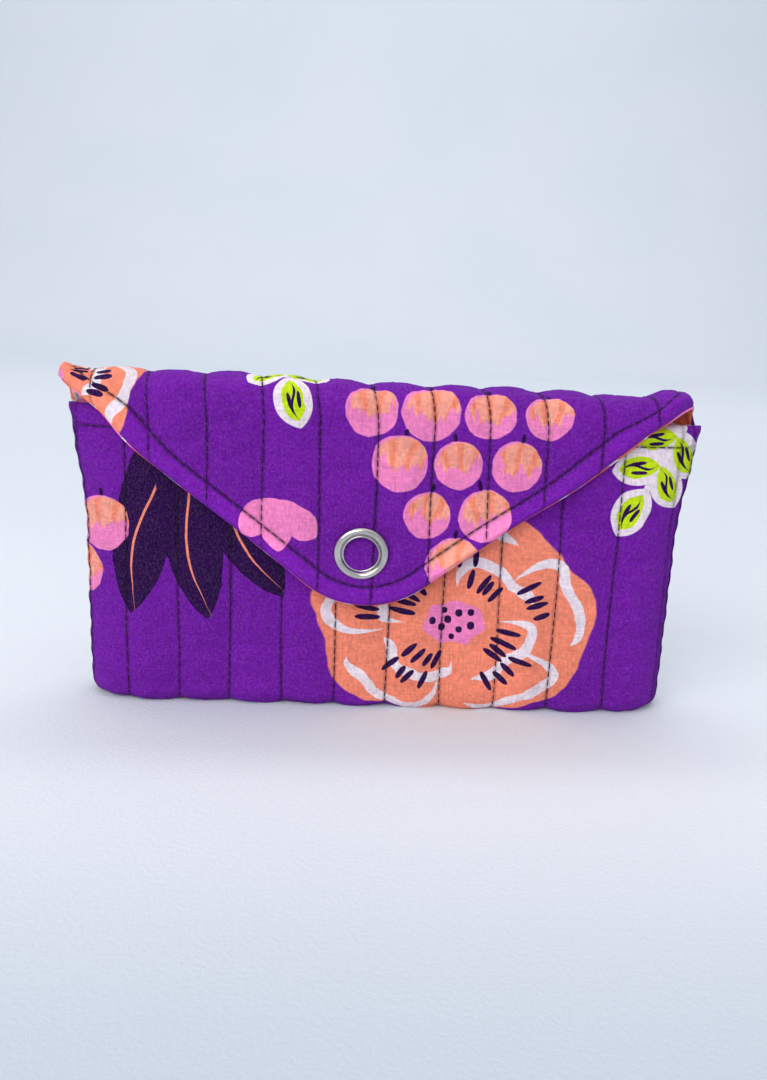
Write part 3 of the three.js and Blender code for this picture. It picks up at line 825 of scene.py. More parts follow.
def smooth_line(points, count=40):
    """A smooth curve through a few points."""
    points = np.array(points, float)
    t = np.linspace(0, len(points) - 1, count)
    degree = min(4, len(points) - 1)
    fits = [np.polyfit(np.arange(len(points)), points[:, k], degree) for k in (0, 1)]
    return np.stack([np.polyval(fit, t) for fit in fits], 1)


def on_flower(flower, reach, angle):
    """The point at this share of a flower's reach and this angle, anticlockwise from its right."""
    x, s, half_width, half_height, turn = flower
    angle = angle + math.radians(turn)
    return np.stack([x + half_width * reach * np.cos(angle), s - half_height * reach * np.sin(angle)], -1)


def petals():
    """Each petal's reach, the angle of its middle and half the angle that it takes up."""
    for reach, count, turn in PETAL_RINGS:
        for i in range(count):
            yield reach, math.radians(turn) + i * 2 * math.pi / count, 0.86 * math.pi / count


def petal_line(flower, reach, middle, spread, rng):
    """The wavy edge of one petal, which curls in at both ends."""
    t = np.linspace(-1, 1, 60)
    waves = 0.028 * np.sin(rng.uniform(4.2, 5.6) * t + rng.uniform(0, 6))
    waves = waves + 0.012 * np.sin(9 * t + rng.uniform(0, 6))
    curl = rng.uniform(0.3, 0.42) * np.clip(t, 0, 1) ** 5
    curl = curl + rng.uniform(0.02, 0.1) * np.clip(-t, 0, 1) ** 3
    sweep = t - 0.22 * np.clip(t, 0, 1) ** 6
    return on_flower(flower, reach * (1 - curl) + waves, middle + spread * rng.uniform(0.98, 1.12) * sweep)


def pale_strokes():
    rng = np.random.default_rng(5)
    lines = [(smooth_line(points), half_width) for points, half_width in STEMS]
    for flower in FLOWERS:
        lines += [(petal_line(flower, *petal, rng), PETAL_LINE_HALF_WIDTH) for petal in petals()]
    return lines


def ink_marks():
    """Short plum strokes on petals, hearts of flowers, sprigs and berries: x, s, x, s and half-width."""
    rng = np.random.default_rng(8)
    marks = []
    for flower in FLOWERS:
        for reach, middle, spread in petals():
            low = reach * (0.6 if reach > 0.7 else 0.56)
            for k in range(4):
                angle = middle + spread * (0.3 * (k - 1.5) + rng.uniform(-0.06, 0.06))
                inner, outer = low + rng.uniform(-0.03, 0.03), low + rng.uniform(0.13, 0.2)
                lean = rng.uniform(-0.03, 0.08)
                foot, head = on_flower(flower, inner, angle), on_flower(flower, outer, angle + lean)
                marks.append((*foot, *head, TICK_HALF_WIDTH))
        for k in range(1, 10):
            x, s = on_flower(flower, 0.052 * math.sqrt(k), 2.4 * k)
            size = rng.uniform(0.8, 1.25)
            marks.append((x, s - size, x, s + size, size * 0.9))
    for x0, s0, x1, s1, half_width, *_ in SPRIG_LEAVES:
        side = np.array([s1 - s0, x0 - x1]) / math.hypot(x1 - x0, s1 - s0)
        for hand in (-0.46, 0.46):
            ends = [
                np.array([lerp(x0, x1, along), lerp(s0, s1, along)]) + side * hand * half_width * spread
                for along, spread in ((0.34, 1.0), (0.72, 0.8))
            ]
            marks.append((*ends[0], *ends[1], SPRIG_TICK_HALF_WIDTH))
    for x, s, radius, lean in BERRIES:
        angle = math.radians(lean)
        foot, head = radius * 0.96, radius + rng.uniform(1.6, 3.2)
        ends = [(x + reach * math.sin(angle), s - reach * math.cos(angle)) for reach in (foot, head)]
        marks.append((*ends[0], *ends[1], STALK_HALF_WIDTH))
    return marks


def discs_along(line, radius):
    """A motif's extent as discs, with the spare cloth round it."""
    return [(x, s, radius + SPARE) for x, s in line]


def share_out(motifs):
    """Gives each motif, a list of discs, the number of the first layer where it comes near no other."""
    layers = []
    for discs in motifs:
        here = np.array(discs)
        for number, taken in enumerate(layers):
            gaps = np.hypot(*(here[:, None, :2] - taken[None, :, :2]).transpose(2, 0, 1))
            if (gaps > here[:, None, 2] + taken[None, :, 2] + 2 * SPARE).all():
                layers[number] = np.concatenate([taken, here])
                break
        else:
            number = len(layers)
            layers.append(here)
        yield number


def along_and_across(x, s, x0, s0, x1, s1):
    """-1 to 1 from a motif's base to its tip, and the millimetres to its side."""
    half_length = math.hypot(x1 - x0, s1 - s0) / 2
    ahead = ((x1 - x0) / 2 / half_length, (s1 - s0) / 2 / half_length)
    dx, ds = x - (x0 + x1) / 2, s - (s0 + s1) / 2
    return (dx * ahead[0] + ds * ahead[1]) / half_length, ds * ahead[0] - dx * ahead[1]


def layers_of(x, s, motifs):
    """Each layer, with its motifs' numbers, the points nearest to each, and 1 where it may cover them."""
    numbers = list(share_out(motifs))
    for layer in range(max(numbers) + 1):
        gap = np.full(len(x), 2 * SPARE)
        near = np.zeros((len(motifs), len(x)), bool)
        for number in [number for number, its_layer in enumerate(numbers) if its_layer == layer]:
            centres = np.array(motifs[number])
            reach = centres[:, 2].max() + 2 * SPARE
            low, high = centres[:, :2].min(axis=0) - reach, centres[:, :2].max(axis=0) + reach
            close = np.flatnonzero((x > low[0]) & (x < high[0]) & (s > low[1]) & (s < high[1]))
            to_centres = np.hypot(x[close, None] - centres[:, 0], s[close, None] - centres[:, 1])
            gap_here = (to_centres - centres[:, 2]).min(axis=1)
            closer = gap_here < gap[close]
            gap[close[closer]] = gap_here[closer]
            near[:, close[closer]] = False
            near[number, close[closer]] = True
        found = [(number, np.flatnonzero(points)) for number, points in enumerate(near) if points.any()]
        yield layer, [(number, close, (gap[close] < 0) * 1.0) for number, close in found]


def leaf_coordinates(number, x, s, near):
    """From -1 to 1 along a leaf and across it, then its size, tint and vein."""
    *ends, half_width, bend, colour, vein_colour, vein_width, margin = LEAVES[number]
    u, v = along_and_across(x, s, *ends)
    v = v / half_width - bend * (1 - np.clip(u, -1.3, 1.3) ** 2)
    return np.stack([u, v, near], 1), (half_width, vein_width, margin), colour, vein_colour


def berry_coordinates(number, x, s, near):
    """Across and up a berry in its radii, and a number of its own."""
    berry_x, berry_s, radius, lean = BERRIES[number]
    dx, dy, angle = (x - berry_x) / radius, (berry_s - s) / radius, math.radians(lean)
    across = dx * math.cos(angle) - dy * math.sin(angle)
    up = dx * math.sin(angle) + dy * math.cos(angle)
    return (np.stack([across, up, near * (1 + 0.31 * number)], 1),)


def mark_coordinates(number, x, s, near):
    """From -1 to 1 along a mark, the distance to its line and half its width."""
    *ends, half_width = MARKS[number]
    u, v = along_and_across(x, s, *ends)
    return (np.stack([u, v, near * half_width], 1),)


def stroke_coordinates(number, x, s, near):
    """The signed distance to a stroke's line, the share of the way along it and half its width."""
    line, half_width = STROKES[number]
    here = np.stack([x, s], 1)
    nearest = np.hypot(*(here[:, None] - line[None]).transpose(2, 0, 1)).argmin(axis=1)
    ahead = np.gradient(line, axis=0)
    step = np.linalg.norm(ahead, axis=1, keepdims=True)
    ahead /= step
    offset = here - line[nearest]
    beside = offset[:, 0] * -ahead[nearest, 1] + offset[:, 1] * ahead[nearest, 0]
    past = (offset * ahead[nearest]).sum(axis=1) / step[nearest, 0]
    return (np.stack([beside, (nearest + past) / (len(line) - 1), near * half_width], 1),)


STROKES = pale_strokes()
MARKS = ink_marks()
STROKE_EXTENTS = [discs_along(line, half_width) for line, half_width in STROKES]
LEAF_EXTENTS = [
    discs_along(np.linspace((x0, s0), (x1, s1), 9), half_width * (1 + abs(bend)) + margin)
    for x0, s0, x1, s1, half_width, bend, _, _, _, margin in LEAVES
]
BERRY_EXTENTS = [discs_along([(x, s)], radius) for x, s, radius, _ in BERRIES]
MARK_EXTENTS = [discs_along(np.linspace(mark[:2], mark[2:4], 4), mark[4]) for mark in MARKS]


def carry(mesh, x, s, kind, extents, coordinates, names=("",)):
    """Stores for each layer the coordinates of the motif nearest to each point. Returns how many layers."""
    for layer, found in layers_of(x, s, extents):
        stored = {name: np.full((len(x), 3), (0.0, 0.0, 0.0) if name else NOWHERE) for name in names}
        for number, close, near in found:
            for name, values in zip(names, coordinates(number, x[close], s[close], near)):
                stored[name][close] = values
        for name, values in stored.items():
            set_attribute(mesh, f"{kind}_{layer}{name}", values)
    return layer + 1


def flower_attributes(mesh, x, s):
    """Across and up the nearest flower in shares of its reach, and 1 where it may cover the cloth."""
    places = np.stack([((x - fx) / width, (fs - s) / height) for fx, fs, width, height, _ in FLOWERS])
    radii = np.hypot(places[:, 0], places[:, 1])
    nearest, points = radii.argmin(axis=0), np.arange(len(x))
    may_cover = (radii[nearest, points] < 1.35) * 1.0
    set_attribute(mesh, "flower", np.column_stack([places[nearest, :, points], may_cover]))


def print_on(piece):
    """Gives a piece the motifs' coordinates, and tells how many layers each kind of motif has."""
    strip = np.zeros(len(piece.data.vertices) * 3, np.float32)
    piece.data.attributes["strip"].data.foreach_get("vector", strip)
    x, s = strip.reshape(-1, 3)[:, 0].astype(float), strip.reshape(-1, 3)[:, 1].astype(float)
    flower_attributes(piece.data, x, s)
    return [
        carry(piece.data, x, s, "stroke", STROKE_EXTENTS, stroke_coordinates),
        carry(piece.data, x, s, "leaf", LEAF_EXTENTS, leaf_coordinates, ("", "_size", "_tint", "_vein")),
        carry(piece.data, x, s, "berry", BERRY_EXTENTS, berry_coordinates),
        carry(piece.data, x, s, "mark", MARK_EXTENTS, mark_coordinates),
    ]


STROKE_LAYERS, LEAF_LAYERS, BERRY_LAYERS, MARK_LAYERS = print_on(pocket_quilt)
print_on(flap_quilt)


# ---------------------------------------------------------------- materials
class Nodes:
    """Short calls for building a material's node tree. A value is a socket or a number."""

    def __init__(self, name):
        self.material = bpy.data.materials.new(name)
        self.material.use_nodes = True
        self.tree = self.material.node_tree
        self.shader = self.tree.nodes["Principled BSDF"]

    def put(self, socket, value):
        if isinstance(value, bpy.types.NodeSocket):
            self.tree.links.new(value, socket)
        elif isinstance(value, tuple) and socket.type == "RGBA":
            socket.default_value = (*value, 1.0)
        else:
            socket.default_value = value

    def new(self, kind, **settings):
        made = self.tree.nodes.new(kind)
        for key, value in settings.items():
            setattr(made, key, value)
        return made

    def math(self, operation, *values):
        made = self.new("ShaderNodeMath", operation=operation)
        for socket, value in zip(made.inputs, values):
            self.put(socket, value)
        return made.outputs[0]

    def times(self, a, b):
        return self.math("MULTIPLY", a, b)

    def plus(self, a, b):
        return self.math("ADD", a, b)

    def minus(self, a, b):
        return self.math("SUBTRACT", a, b)

    def size(self, value):
        return self.math("ABSOLUTE", value)

    def root_above_zero(self, value, power=0.5):
        return self.math("POWER", self.math("MAXIMUM", value, 0.0), power)

    def radius(self, x, y):
        return self.math("SQRT", self.plus(self.math("POWER", x, 2), self.math("POWER", y, 2)))

    def vector(self, operation, *values):
        made = self.new("ShaderNodeVectorMath", operation=operation)
        for socket, value in zip(made.inputs, values):
            self.put(socket, value)
        return made.outputs[0]

    def scaled(self, vector, factors):
        return self.vector("MULTIPLY", vector, factors)

    def attribute(self, name, output="Vector"):
        return self.new("ShaderNodeAttribute", attribute_name=name).outputs[output]

    def position(self):
        return self.new("ShaderNodeNewGeometry").outputs["Position"]

    def parts(self, vector):
        made = self.new("ShaderNodeSeparateXYZ")
        self.put(made.inputs[0], vector)
        return made.outputs[0], made.outputs[1], made.outputs[2]

    def noise(self, vector, scale, detail=2.0):
        made = self.new("ShaderNodeTexNoise")
        self.put(made.inputs["Vector"], vector)
        self.put(made.inputs["Scale"], scale)
        self.put(made.inputs["Detail"], detail)
        return made

    def cloud(self, vector, scale, detail=2.0):
        return self.noise(vector, scale, detail).outputs[0]

    def streaks(self, vector, factors, detail=2.0):
        return self.cloud(self.scaled(vector, factors), 1.0, detail)

    def step(self, value, low, high, to_low=0.0, to_high=1.0):
        made = self.new("ShaderNodeMapRange", interpolation_type="SMOOTHSTEP")
        for socket, each in zip(made.inputs, (value, low, high, to_low, to_high)):
            self.put(socket, each)
        return made.outputs[0]

    def mix(self, factor, a, b, blend="MIX"):
        made = self.new("ShaderNodeMix", data_type="RGBA", blend_type=blend)
        self.put(made.inputs[0], factor)
        self.put(made.inputs[6], a)
        self.put(made.inputs[7], b)
        return made.outputs[2]

    def bump(self, height, distance, strength=1.0, normal=None):
        made = self.new("ShaderNodeBump")
        made.inputs["Distance"].default_value = distance
        made.inputs["Strength"].default_value = strength
        self.put(made.inputs["Height"], height)
        if normal is not None:
            self.put(made.inputs["Normal"], normal)
        return made.outputs[0]

    def finish(self, **sockets):
        for key, value in sockets.items():
            self.put(self.shader.inputs[key.replace("_", " ")], value)
        return self.material


WEAVE_PITCH = 0.6  # an over and an under
WEAVE_CONTRAST = 0.13
HEM_PAINTED_LIGHT = 0.22  # painted light: how much lighter the flap's hem band is painted than the puckered cloth, for the light its sloping padded face catches


def weave(nodes, on_cloth):
    """Plain weave: its height, and a brightness that differs from thread to thread."""
    x, s, _ = nodes.parts(on_cloth)
    across = nodes.math("SINE", nodes.times(x, 2 * math.pi / WEAVE_PITCH))
    down = nodes.math("SINE", nodes.times(s, 2 * math.pi / WEAVE_PITCH))
    height = nodes.times(across, down)
    warp = nodes.streaks(on_cloth, (3.2, 0.09, 1))
    weft = nodes.streaks(on_cloth, (0.09, 3.2, 1))
    threads = nodes.plus(warp, weft)
    slubs_up = nodes.streaks(on_cloth, (2.3, 0.55, 1))
    slubs_along = nodes.streaks(on_cloth, (0.5, 2.4, 1))
    slubs = nodes.step(nodes.plus(slubs_up, slubs_along), 0.72, 1.28, -0.15, 0.15)
    threads = nodes.plus(nodes.step(threads, 0.7, 1.3, 0.93, 1.07), slubs)
    brightness = nodes.plus(threads, nodes.times(height, WEAVE_CONTRAST))
    return height, brightness


def pucker(nodes, on_cloth):
    """Small creases that run into each stitch, and the distances to a seam and to the cloth's edge."""
    rows, hem, edge = nodes.parts(nodes.attribute("seams"))
    _, s, _ = nodes.parts(on_cloth)
    wave = nodes.math("SINE", nodes.times(s, 2 * math.pi / STITCH_PITCH))
    crease = nodes.streaks(on_cloth, (0.16, 0.75, 1), 3.0)
    gap = nodes.math("MINIMUM", rows, hem)
    close = nodes.math("POWER", 2.718, nodes.times(gap, -0.6))
    mixed = nodes.plus(nodes.times(wave, 0.35), nodes.times(crease, 2.2))
    return nodes.times(mixed, close), gap, edge


def cotton(name, colour_of):
    nodes = Nodes(name)
    on_cloth = nodes.attribute("strip")
    colour = colour_of(nodes, on_cloth)
    height, brightness = weave(nodes, on_cloth)
    creases, gap, edge = pucker(nodes, on_cloth)
    on_flap = nodes.step(nodes.parts(on_cloth)[1], S_CREST, S_FLAP)
    # Painted light: the flap's hem band, between the topstitching and the edge, is painted lighter, as if
    # lit on its sloping padded face.
    hem_painted_light = nodes.times(on_flap, nodes.step(edge, HEM - 0.4, HEM - 1.6, 0.0, HEM_PAINTED_LIGHT))
    drift = nodes.cloud(on_cloth, 0.045, 3.0)
    # Painted shade: the cloth is darkened down to half next to the rows and the topstitching, where shade
    # lies in the grooves; the drift is a slow random change of tone.
    groove_painted_shade = nodes.step(gap, 0.1, 0.95, 0.5, 1.0)
    shading = nodes.times(groove_painted_shade, nodes.step(drift, 0.2, 0.8, 0.92, 1.08))
    tone = nodes.times(nodes.times(brightness, shading), nodes.plus(hem_painted_light, 1.0))
    shade = nodes.vector("SCALE", colour)
    nodes.put(shade.node.inputs["Scale"], tone)
    # Pale fibre fuzz in random specks, painted a little lighter as painted sheen on fibres that catch the
    # light.
    fibres_and_sheen = nodes.streaks(on_cloth, (2.6, 1.5, 2))
    shade = nodes.mix(nodes.step(fibres_and_sheen, 0.42, 0.75, 0.0, 0.035), shade, LINT_AND_SHEEN)
    normal = nodes.bump(creases, 0.00012)
    normal = nodes.bump(height, 0.00004, 0.9, normal)
    rough = nodes.step(brightness, 0.85, 1.15, 0.92, 0.8)
    sheen = {"Sheen_Weight": 0.02, "Sheen_Roughness": 0.5, "Specular_IOR_Level": 0.06}
    return nodes.finish(Base_Color=shade, Roughness=rough, Normal=normal, **sheen)


def wobbled(nodes, vector, on_cloth, amount, scale):
    """The vector moved a little, as a painted edge is."""
    cloud = nodes.noise(on_cloth, scale, 2.0).outputs["Color"]
    push = nodes.scaled(nodes.vector("SUBTRACT", cloud, (0.5, 0.5, 0.5)), (amount, amount, 0))
    return nodes.vector("ADD", vector, push)


FLOWER_LOBES = 7


def painted_flower(nodes, under, on_cloth):
    flower = wobbled(nodes, nodes.attribute("flower"), on_cloth, 0.16, 0.07)
    x, y, near = nodes.parts(flower)
    near = nodes.step(near, 0.95, 1.0)
    radius = nodes.radius(x, y)
    angle = nodes.math("ARCTAN2", y, x)
    lobes = nodes.times(nodes.math("SINE", nodes.times(angle, FLOWER_LOBES)), 0.035)
    petals_reach = nodes.minus(radius, lobes)
    colour = nodes.mix(nodes.times(nodes.step(petals_reach, 0.99, 0.975), near), under, CORAL)
    ragged = nodes.plus(radius, nodes.times(lobes, 0.3))
    heart = nodes.times(nodes.step(ragged, 0.215, 0.2), near)
    return nodes.mix(heart, colour, PINK)


def painted_strokes(nodes, under, wobble):
    colour = under
    for layer in range(STROKE_LAYERS):
        beside, along, half_width = nodes.parts(nodes.attribute(f"stroke_{layer}"))
        ends = nodes.times(nodes.step(along, -0.01, 0.14), nodes.step(along, 1.01, 0.8))
        ends = nodes.root_above_zero(ends)
        width = nodes.times(nodes.times(half_width, ends), nodes.plus(wobble, 0.95))
        inside = nodes.minus(width, nodes.size(beside))
        mask = nodes.times(nodes.step(inside, 0.0, 0.14), nodes.step(half_width, 0.9, 1.0))
        colour = nodes.mix(mask, colour, PALE)
    return colour


BORDER_LENGTH = 1.36  # a leaf's pale border is this many times as long as the leaf


def leaf_width(nodes, length):
    """A leaf's share of its full width, at 0 to 1 from its middle to an end."""
    left_over = nodes.minus(1, nodes.math("POWER", length, 2.4))
    return nodes.root_above_zero(left_over, 0.85)


def painted_leaves(nodes, under, wobble):
    """First every leaf's pale margin, then the leaves."""
    leaves = []
    colour = under
    for layer in range(LEAF_LAYERS):
        u, v, near = nodes.parts(nodes.attribute(f"leaf_{layer}"))
        half_width, vein_width, margin = nodes.parts(nodes.attribute(f"leaf_{layer}_size"))
        near = nodes.step(near, 0.9, 1.0)
        length = nodes.size(u)
        beside = nodes.times(nodes.size(v), half_width)
        outer_share = leaf_width(nodes, nodes.math("DIVIDE", length, BORDER_LENGTH))
        outer = nodes.times(outer_share, nodes.plus(half_width, margin))
        pale = nodes.step(nodes.minus(outer, beside), 0.04, 0.16)
        pale = nodes.times(pale, nodes.times(nodes.step(margin, 0.5, 0.6), near))
        colour = nodes.mix(pale, colour, PALE)
        uneven = nodes.times(half_width, nodes.plus(1.0, nodes.times(u, 0.16)))
        uneven = nodes.plus(uneven, nodes.times(wobble, 1.6))
        body = nodes.times(leaf_width(nodes, length), uneven)
        fill = nodes.times(nodes.step(nodes.minus(body, beside), 0.04, 0.16), near)
        leaves.append((layer, u, v, half_width, vein_width, fill))
    for layer, u, v, half_width, vein_width, fill in leaves:
        colour = nodes.mix(fill, colour, nodes.attribute(f"leaf_{layer}_tint", "Color"))
        curve = nodes.times(nodes.math("SINE", nodes.times(u, 3.9)), 0.24)
        beside = nodes.times(nodes.size(nodes.minus(v, curve)), half_width)
        length = nodes.size(nodes.minus(u, 0.08))
        width = nodes.times(vein_width, nodes.step(length, 0.86, 0.3, 0.1, 1.0))
        vein = nodes.step(nodes.minus(width, beside), -0.05, 0.05)
        vein = nodes.times(nodes.times(vein, fill), nodes.step(vein_width, 0.1, 0.2))
        colour = nodes.mix(vein, colour, nodes.attribute(f"leaf_{layer}_vein", "Color"))
    return colour


BERRY_RIBS = 21


def painted_berries(nodes, under, on_cloth):
    """Pink berries, each with a coral cap brushed down from the top."""
    colour = under
    for layer in range(BERRY_LAYERS):
        raw = nodes.attribute(f"berry_{layer}")
        berry = wobbled(nodes, raw, on_cloth, 0.2, 0.2)
        x, y, _ = nodes.parts(berry)
        _, _, seed = nodes.parts(raw)
        radius = nodes.radius(x, y)
        mask = nodes.times(nodes.step(radius, 0.99, 0.965), nodes.step(seed, 0.9, 1.0))
        colour = nodes.mix(mask, colour, PINK)
        streaks = nodes.noise(nodes.scaled(berry, (4.6, 0.55, 0)), 1.0, 1.5)
        streaks.noise_dimensions = "4D"
        nodes.put(streaks.inputs["W"], nodes.times(seed, 9.0))
        hang = nodes.times(nodes.minus(streaks.outputs[0], 0.5), 1.9)
        dome = nodes.plus(nodes.times(nodes.math("POWER", x, 2), -0.55), y)
        cap = nodes.step(nodes.plus(dome, nodes.plus(hang, 0.2)), -0.03, 0.05)
        cap = nodes.times(cap, nodes.step(y, -0.5, -0.35))
        lopsided = nodes.step(nodes.plus(radius, nodes.times(x, -0.1)), 0.93, 0.9)
        cap = nodes.times(nodes.times(cap, lopsided), mask)
        fan = nodes.math("DIVIDE", x, nodes.plus(y, 1.7))
        ribs = nodes.math("SINE", nodes.plus(nodes.times(fan, BERRY_RIBS), nodes.times(seed, 5)))
        brushed = nodes.mix(nodes.step(nodes.plus(ribs, hang), 0.1, 0.7), BLUSH, CORAL)
        colour = nodes.mix(cap, colour, brushed)
    return colour


def painted_marks(nodes, under, wobble):
    colour = under
    for layer in range(MARK_LAYERS):
        u, v, half_width = nodes.parts(nodes.attribute(f"mark_{layer}"))
        u = nodes.size(u)
        body = nodes.root_above_zero(nodes.minus(1, nodes.math("POWER", u, 2.6)))
        v = nodes.plus(nodes.size(v), nodes.times(wobble, 0.35))
        inside = nodes.minus(nodes.times(half_width, body), v)
        mask = nodes.times(nodes.step(inside, -0.05, 0.05), nodes.step(half_width, 0.3, 0.4))
        mask = nodes.times(mask, nodes.step(u, 1.0, 1.05, 1.0, 0.0))
        colour = nodes.mix(mask, colour, PLUM)
    return colour


def printed_colour(nodes, on_cloth):
    """The painted motifs over the purple ground, in the order that they are printed."""
    darker, lighter = (tuple(c * share for c in PURPLE) for share in (0.95, 1.06))
    colour = nodes.mix(nodes.cloud(on_cloth, 0.03), darker, lighter)
    cloud = nodes.cloud(on_cloth, 0.22)
    wobble = nodes.minus(cloud, 0.5)
    colour = painted_flower(nodes, colour, on_cloth)
    colour = painted_strokes(nodes, colour, wobble)
    colour = painted_leaves(nodes, colour, wobble)
    colour = painted_berries(nodes, colour, on_cloth)
    return painted_marks(nodes, colour, wobble)


def lining_colour(nodes, on_cloth):
    blot = nodes.cloud(on_cloth, 0.055, 1.0)
    colour = nodes.mix(nodes.step(blot, 0.44, 0.455), PINK, RUST)
    curl = nodes.new("ShaderNodeTexWave", wave_type="RINGS")
    nodes.put(curl.inputs["Vector"], wobbled(nodes, on_cloth, on_cloth, 22.0, 0.05))
    curl.inputs["Scale"].default_value = 0.03
    lines = nodes.step(curl.outputs[1], 0.93, 0.96)
    return nodes.mix(lines, colour, PALE)


def thread_material():
    nodes = Nodes("sewing_thread")
    where = nodes.position()
    twist = nodes.streaks(where, (9000, 9000, 3500), 1.0)
    colour = nodes.mix(twist, (0.012, 0.002, 0.02), (0.038, 0.006, 0.05))
    rough = nodes.step(twist, 0.3, 0.7, 0.5, 0.7)
    sheen = {"Sheen_Weight": 0.05, "Specular_IOR_Level": 0.1}
    return nodes.finish(Base_Color=colour, Roughness=rough, Normal=nodes.bump(twist, 0.00008), **sheen)


def nickel_material(name, colour, roughness):
    nodes = Nodes(name)
    where = nodes.position()
    cloud = nodes.cloud(where, 260.0, 3.0)
    scratches = nodes.streaks(where, (1500, 1500, 9000))
    dulled = nodes.step(cloud, 0.3, 0.7, roughness * 0.8, roughness * 1.5)
    marked = nodes.plus(dulled, nodes.step(scratches, 0.6, 0.75, 0.0, 0.08))
    dark = tuple(0.82 * c for c in colour)
    tint = nodes.mix(nodes.step(cloud, 0.35, 0.65), colour, dark)
    normal = nodes.bump(scratches, 0.000006)
    return nodes.finish(Base_Color=tint, Roughness=marked, Normal=normal, Metallic=1.0)


def dress(piece, material):
    piece.data.materials.clear()
    piece.data.materials.append(material)


printed_cotton = cotton("printed_cotton", printed_colour)
lining_cotton = cotton("lining_cotton", lining_colour)
thread = thread_material()
nickel = nickel_material("nickel_plate", (0.62, 0.60, 0.57), 0.16)
spring_steel = nickel_material("spring_wire", (0.42, 0.42, 0.43), 0.3)
for piece in (pocket_quilt, flap_quilt):
    dress(piece, printed_cotton)
for piece in (pocket_lining, flap_lining):
    dress(piece, lining_cotton)
for piece in (quilting_front, quilting_back, quilting_flap, side_seams, mouth_stitching, flap_stitching):
    dress(piece, thread)
for piece in (cap_ring, stud_ring, socket, stud):
    dress(piece, nickel)
dress(spring, spring_steel)

# ---------------------------------------------------------------- how the pieces ride
# The cloth bends above the mouth's edge at the back of the top fold, and again at its front. Here the
# cloth's pieces are only fixed where they are built; the front's rows, the mouth's stitching and the stud
# ride on the pocket's body, and the cap ring, socket and spring on the flap's.
for piece in (pocket_quilt, pocket_lining, quilting_back, side_seams):
    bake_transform(piece)
for piece in (flap_quilt, flap_lining, quilting_flap, flap_stitching):
    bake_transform(piece)
for piece in (quilting_front, mouth_stitching, stud, stud_ring):
    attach(piece, "pocket")
for piece in (cap_ring, socket, spring):
    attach(piece, "flap")

STRETCHES = ("front_panel", "base_fold", "back_panel", "fold_back")
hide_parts(*(f"{layer}_{part}" for layer in ("outer", "batting") for part in STRETCHES))
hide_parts(*(f"lining_{part}" for part in STRETCHES))
FLAP_STRETCHES = ("fold_front", "flap")
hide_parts(*(f"{layer}_{part}" for layer in ("outer", "batting") for part in FLAP_STRETCHES))
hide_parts(*(f"lining_{part}" for part in FLAP_STRETCHES))
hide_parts(*(f"quilt_thread_front_{row}" for row in range(1, ROW_COUNT + 1)))
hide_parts(*(f"quilt_thread_back_{row}" for row in range(1, ROW_COUNT + 1)))
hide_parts(*(f"quilt_thread_flap_{row}" for row in range(1, ROW_COUNT)))
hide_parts("side_seam_thread_left", "side_seam_thread_right")
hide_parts("mouth_topstitch")
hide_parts("flap_topstitch")
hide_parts("snap_cap_ring")
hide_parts("snap_socket")
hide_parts("snap_socket_spring")
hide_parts("snap_stud")
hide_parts("snap_stud_ring")
SLOTS = {
    "outer_cotton": (pocket_quilt, flap_quilt),
    "lining_cotton": (pocket_lining, flap_lining),
    "thread": (quilting_front, quilting_back, quilting_flap, side_seams, mouth_stitching, flap_stitching),
    "snap_metal": (cap_ring, socket, stud, stud_ring),
    "spring_steel": (spring,),
}
for name, members in SLOTS.items():
    for piece in members:
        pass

# ---------------------------------------------------------------- floor, lights and camera
def backdrop():
    """A pale sheet that lies flat under the pouch and curves up behind it."""
    flat, rise, bend = 1.6, 2.2, 0.9
    across = np.linspace(-3.0, 3.0, 25)
    turn = np.linspace(0, math.pi / 2, 16)
    ys_flat = np.concatenate([[-2.5, -1.0], np.linspace(-0.6, flat, 16)])
    ys = np.concatenate([ys_flat, flat + bend * np.sin(turn)[1:], [flat + bend]])
    zs = np.concatenate([np.zeros(len(ys_flat)), bend * (1 - np.cos(turn))[1:], [bend + rise]])
    points = [(x, y, z) for y, z in zip(ys, zs) for x in across]
    made = make_object("backdrop", np.array(points), grid_faces(len(ys), len(across)).tolist())
    nodes = Nodes("pale_backdrop")
    where = nodes.position()
    cloud = nodes.cloud(where, 3.0, 3.0)
    grain = nodes.cloud(where, 900.0)
    _, back, _ = nodes.parts(where)
    blotches = nodes.step(cloud, 0.3, 0.7)
    # Painted shade: the sheet is painted darker behind the pouch and much darker in front of it, for light
    # that falls off there; the blotches are random.
    near_tone = nodes.mix(blotches, (0.665, 0.69, 0.735), (0.70, 0.725, 0.77))
    far_painted_shade = nodes.mix(blotches, (0.625, 0.66, 0.715), (0.65, 0.68, 0.73))
    front_painted_shade = nodes.mix(blotches, (0.465, 0.52, 0.59), (0.49, 0.545, 0.61))
    colour = nodes.mix(nodes.step(back, 0.06, 0.34), near_tone, far_painted_shade)
    colour = nodes.mix(nodes.step(back, -0.045, -0.17), colour, front_painted_shade)
    dress(made, nodes.finish(Base_Color=colour, Roughness=0.9, Normal=nodes.bump(grain, 0.0003, 0.5)))


backdrop()


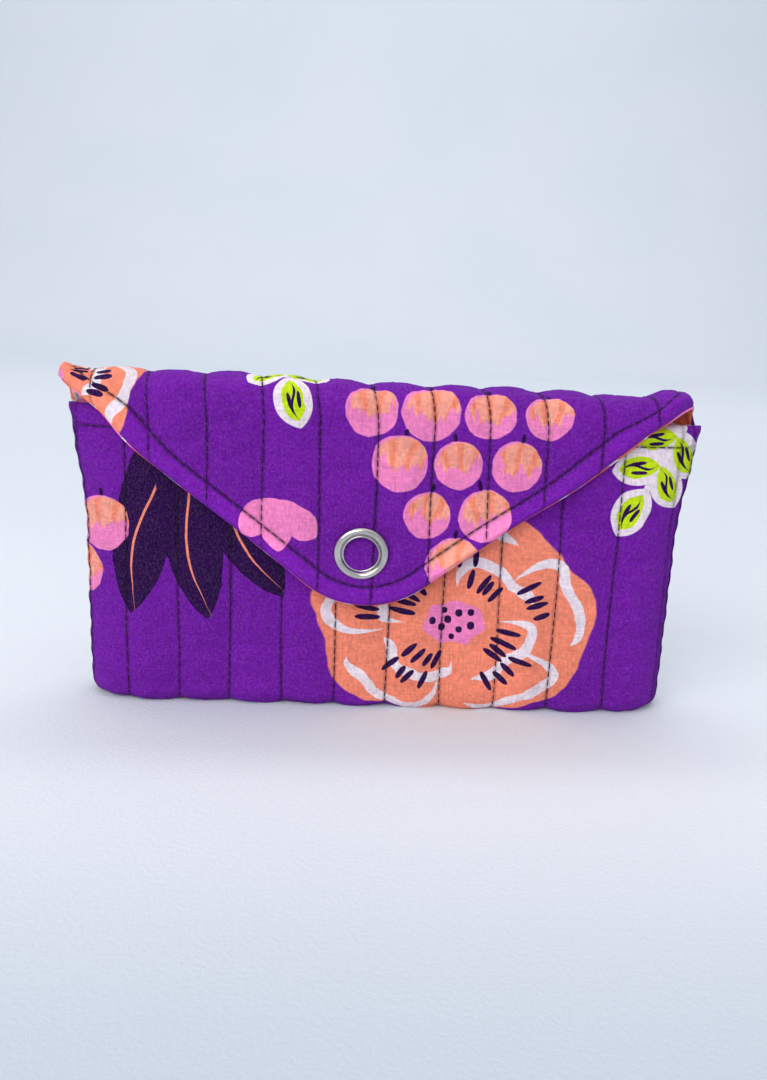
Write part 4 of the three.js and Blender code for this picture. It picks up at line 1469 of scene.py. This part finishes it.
def area_light(name, place_at, aim, size, power, colour):
    light = bpy.data.lights.new(name, "AREA")
    light.shape = "RECTANGLE"
    light.size, light.size_y = size
    light.energy = power
    light.color = colour
    made = bpy.data.objects.new(name, light)
    made.location = place_at
    made.rotation_euler = (Vector(aim) - Vector(place_at)).to_track_quat("-Z", "Y").to_euler()
    scene.collection.objects.link(made)


area_light("window", (-0.8, -1.3, 1.05), (0, 0, 0.05), (1.7, 1.2), 22, (1.0, 0.985, 0.97))
area_light("ceiling", (0.3, 0.2, 1.9), (0, 0, 0), (2.2, 2.2), 10, (0.97, 0.98, 1.0))
area_light("wall", (0.0, 0.9, 2.3), (0, 2.3, 0.7), (3.0, 1.0), 26, (0.95, 0.98, 1.0))
world_light = bpy.data.worlds.new("room")
world_light.use_nodes = True
world_light.node_tree.nodes["Background"].inputs["Color"].default_value = (0.90, 0.94, 1.0, 1.0)
world_light.node_tree.nodes["Background"].inputs["Strength"].default_value = 0.62
scene.world = world_light
scene.view_settings.view_transform = "Standard"

CAMERA_PLACE = np.array((-7.9, -263.43, 115.78))
CAMERA_YAW, CAMERA_PITCH, CAMERA_ROLL = math.radians(1.761), math.radians(-14.067), math.radians(2.401)
forward = Vector((
    math.sin(CAMERA_YAW) * math.cos(CAMERA_PITCH),
    math.cos(CAMERA_YAW) * math.cos(CAMERA_PITCH),
    math.sin(CAMERA_PITCH),
))
right = Vector((math.cos(CAMERA_YAW), -math.sin(CAMERA_YAW), 0))
up = right.cross(forward)
rolled_right = right * math.cos(CAMERA_ROLL) + up * math.sin(CAMERA_ROLL)
rolled_up = up * math.cos(CAMERA_ROLL) - right * math.sin(CAMERA_ROLL)
turned = Matrix((rolled_right, rolled_up, -forward)).transposed().to_4x4()
camera_data = bpy.data.cameras.new("camera")
camera_data.lens = 30
camera_data.sensor_width = 36
camera_data.clip_start = 0.01
camera = bpy.data.objects.new("camera", camera_data)
camera.matrix_world = Matrix.Translation(Vector(world(CAMERA_PLACE))) @ turned
scene.collection.objects.link(camera)
scene.camera = camera
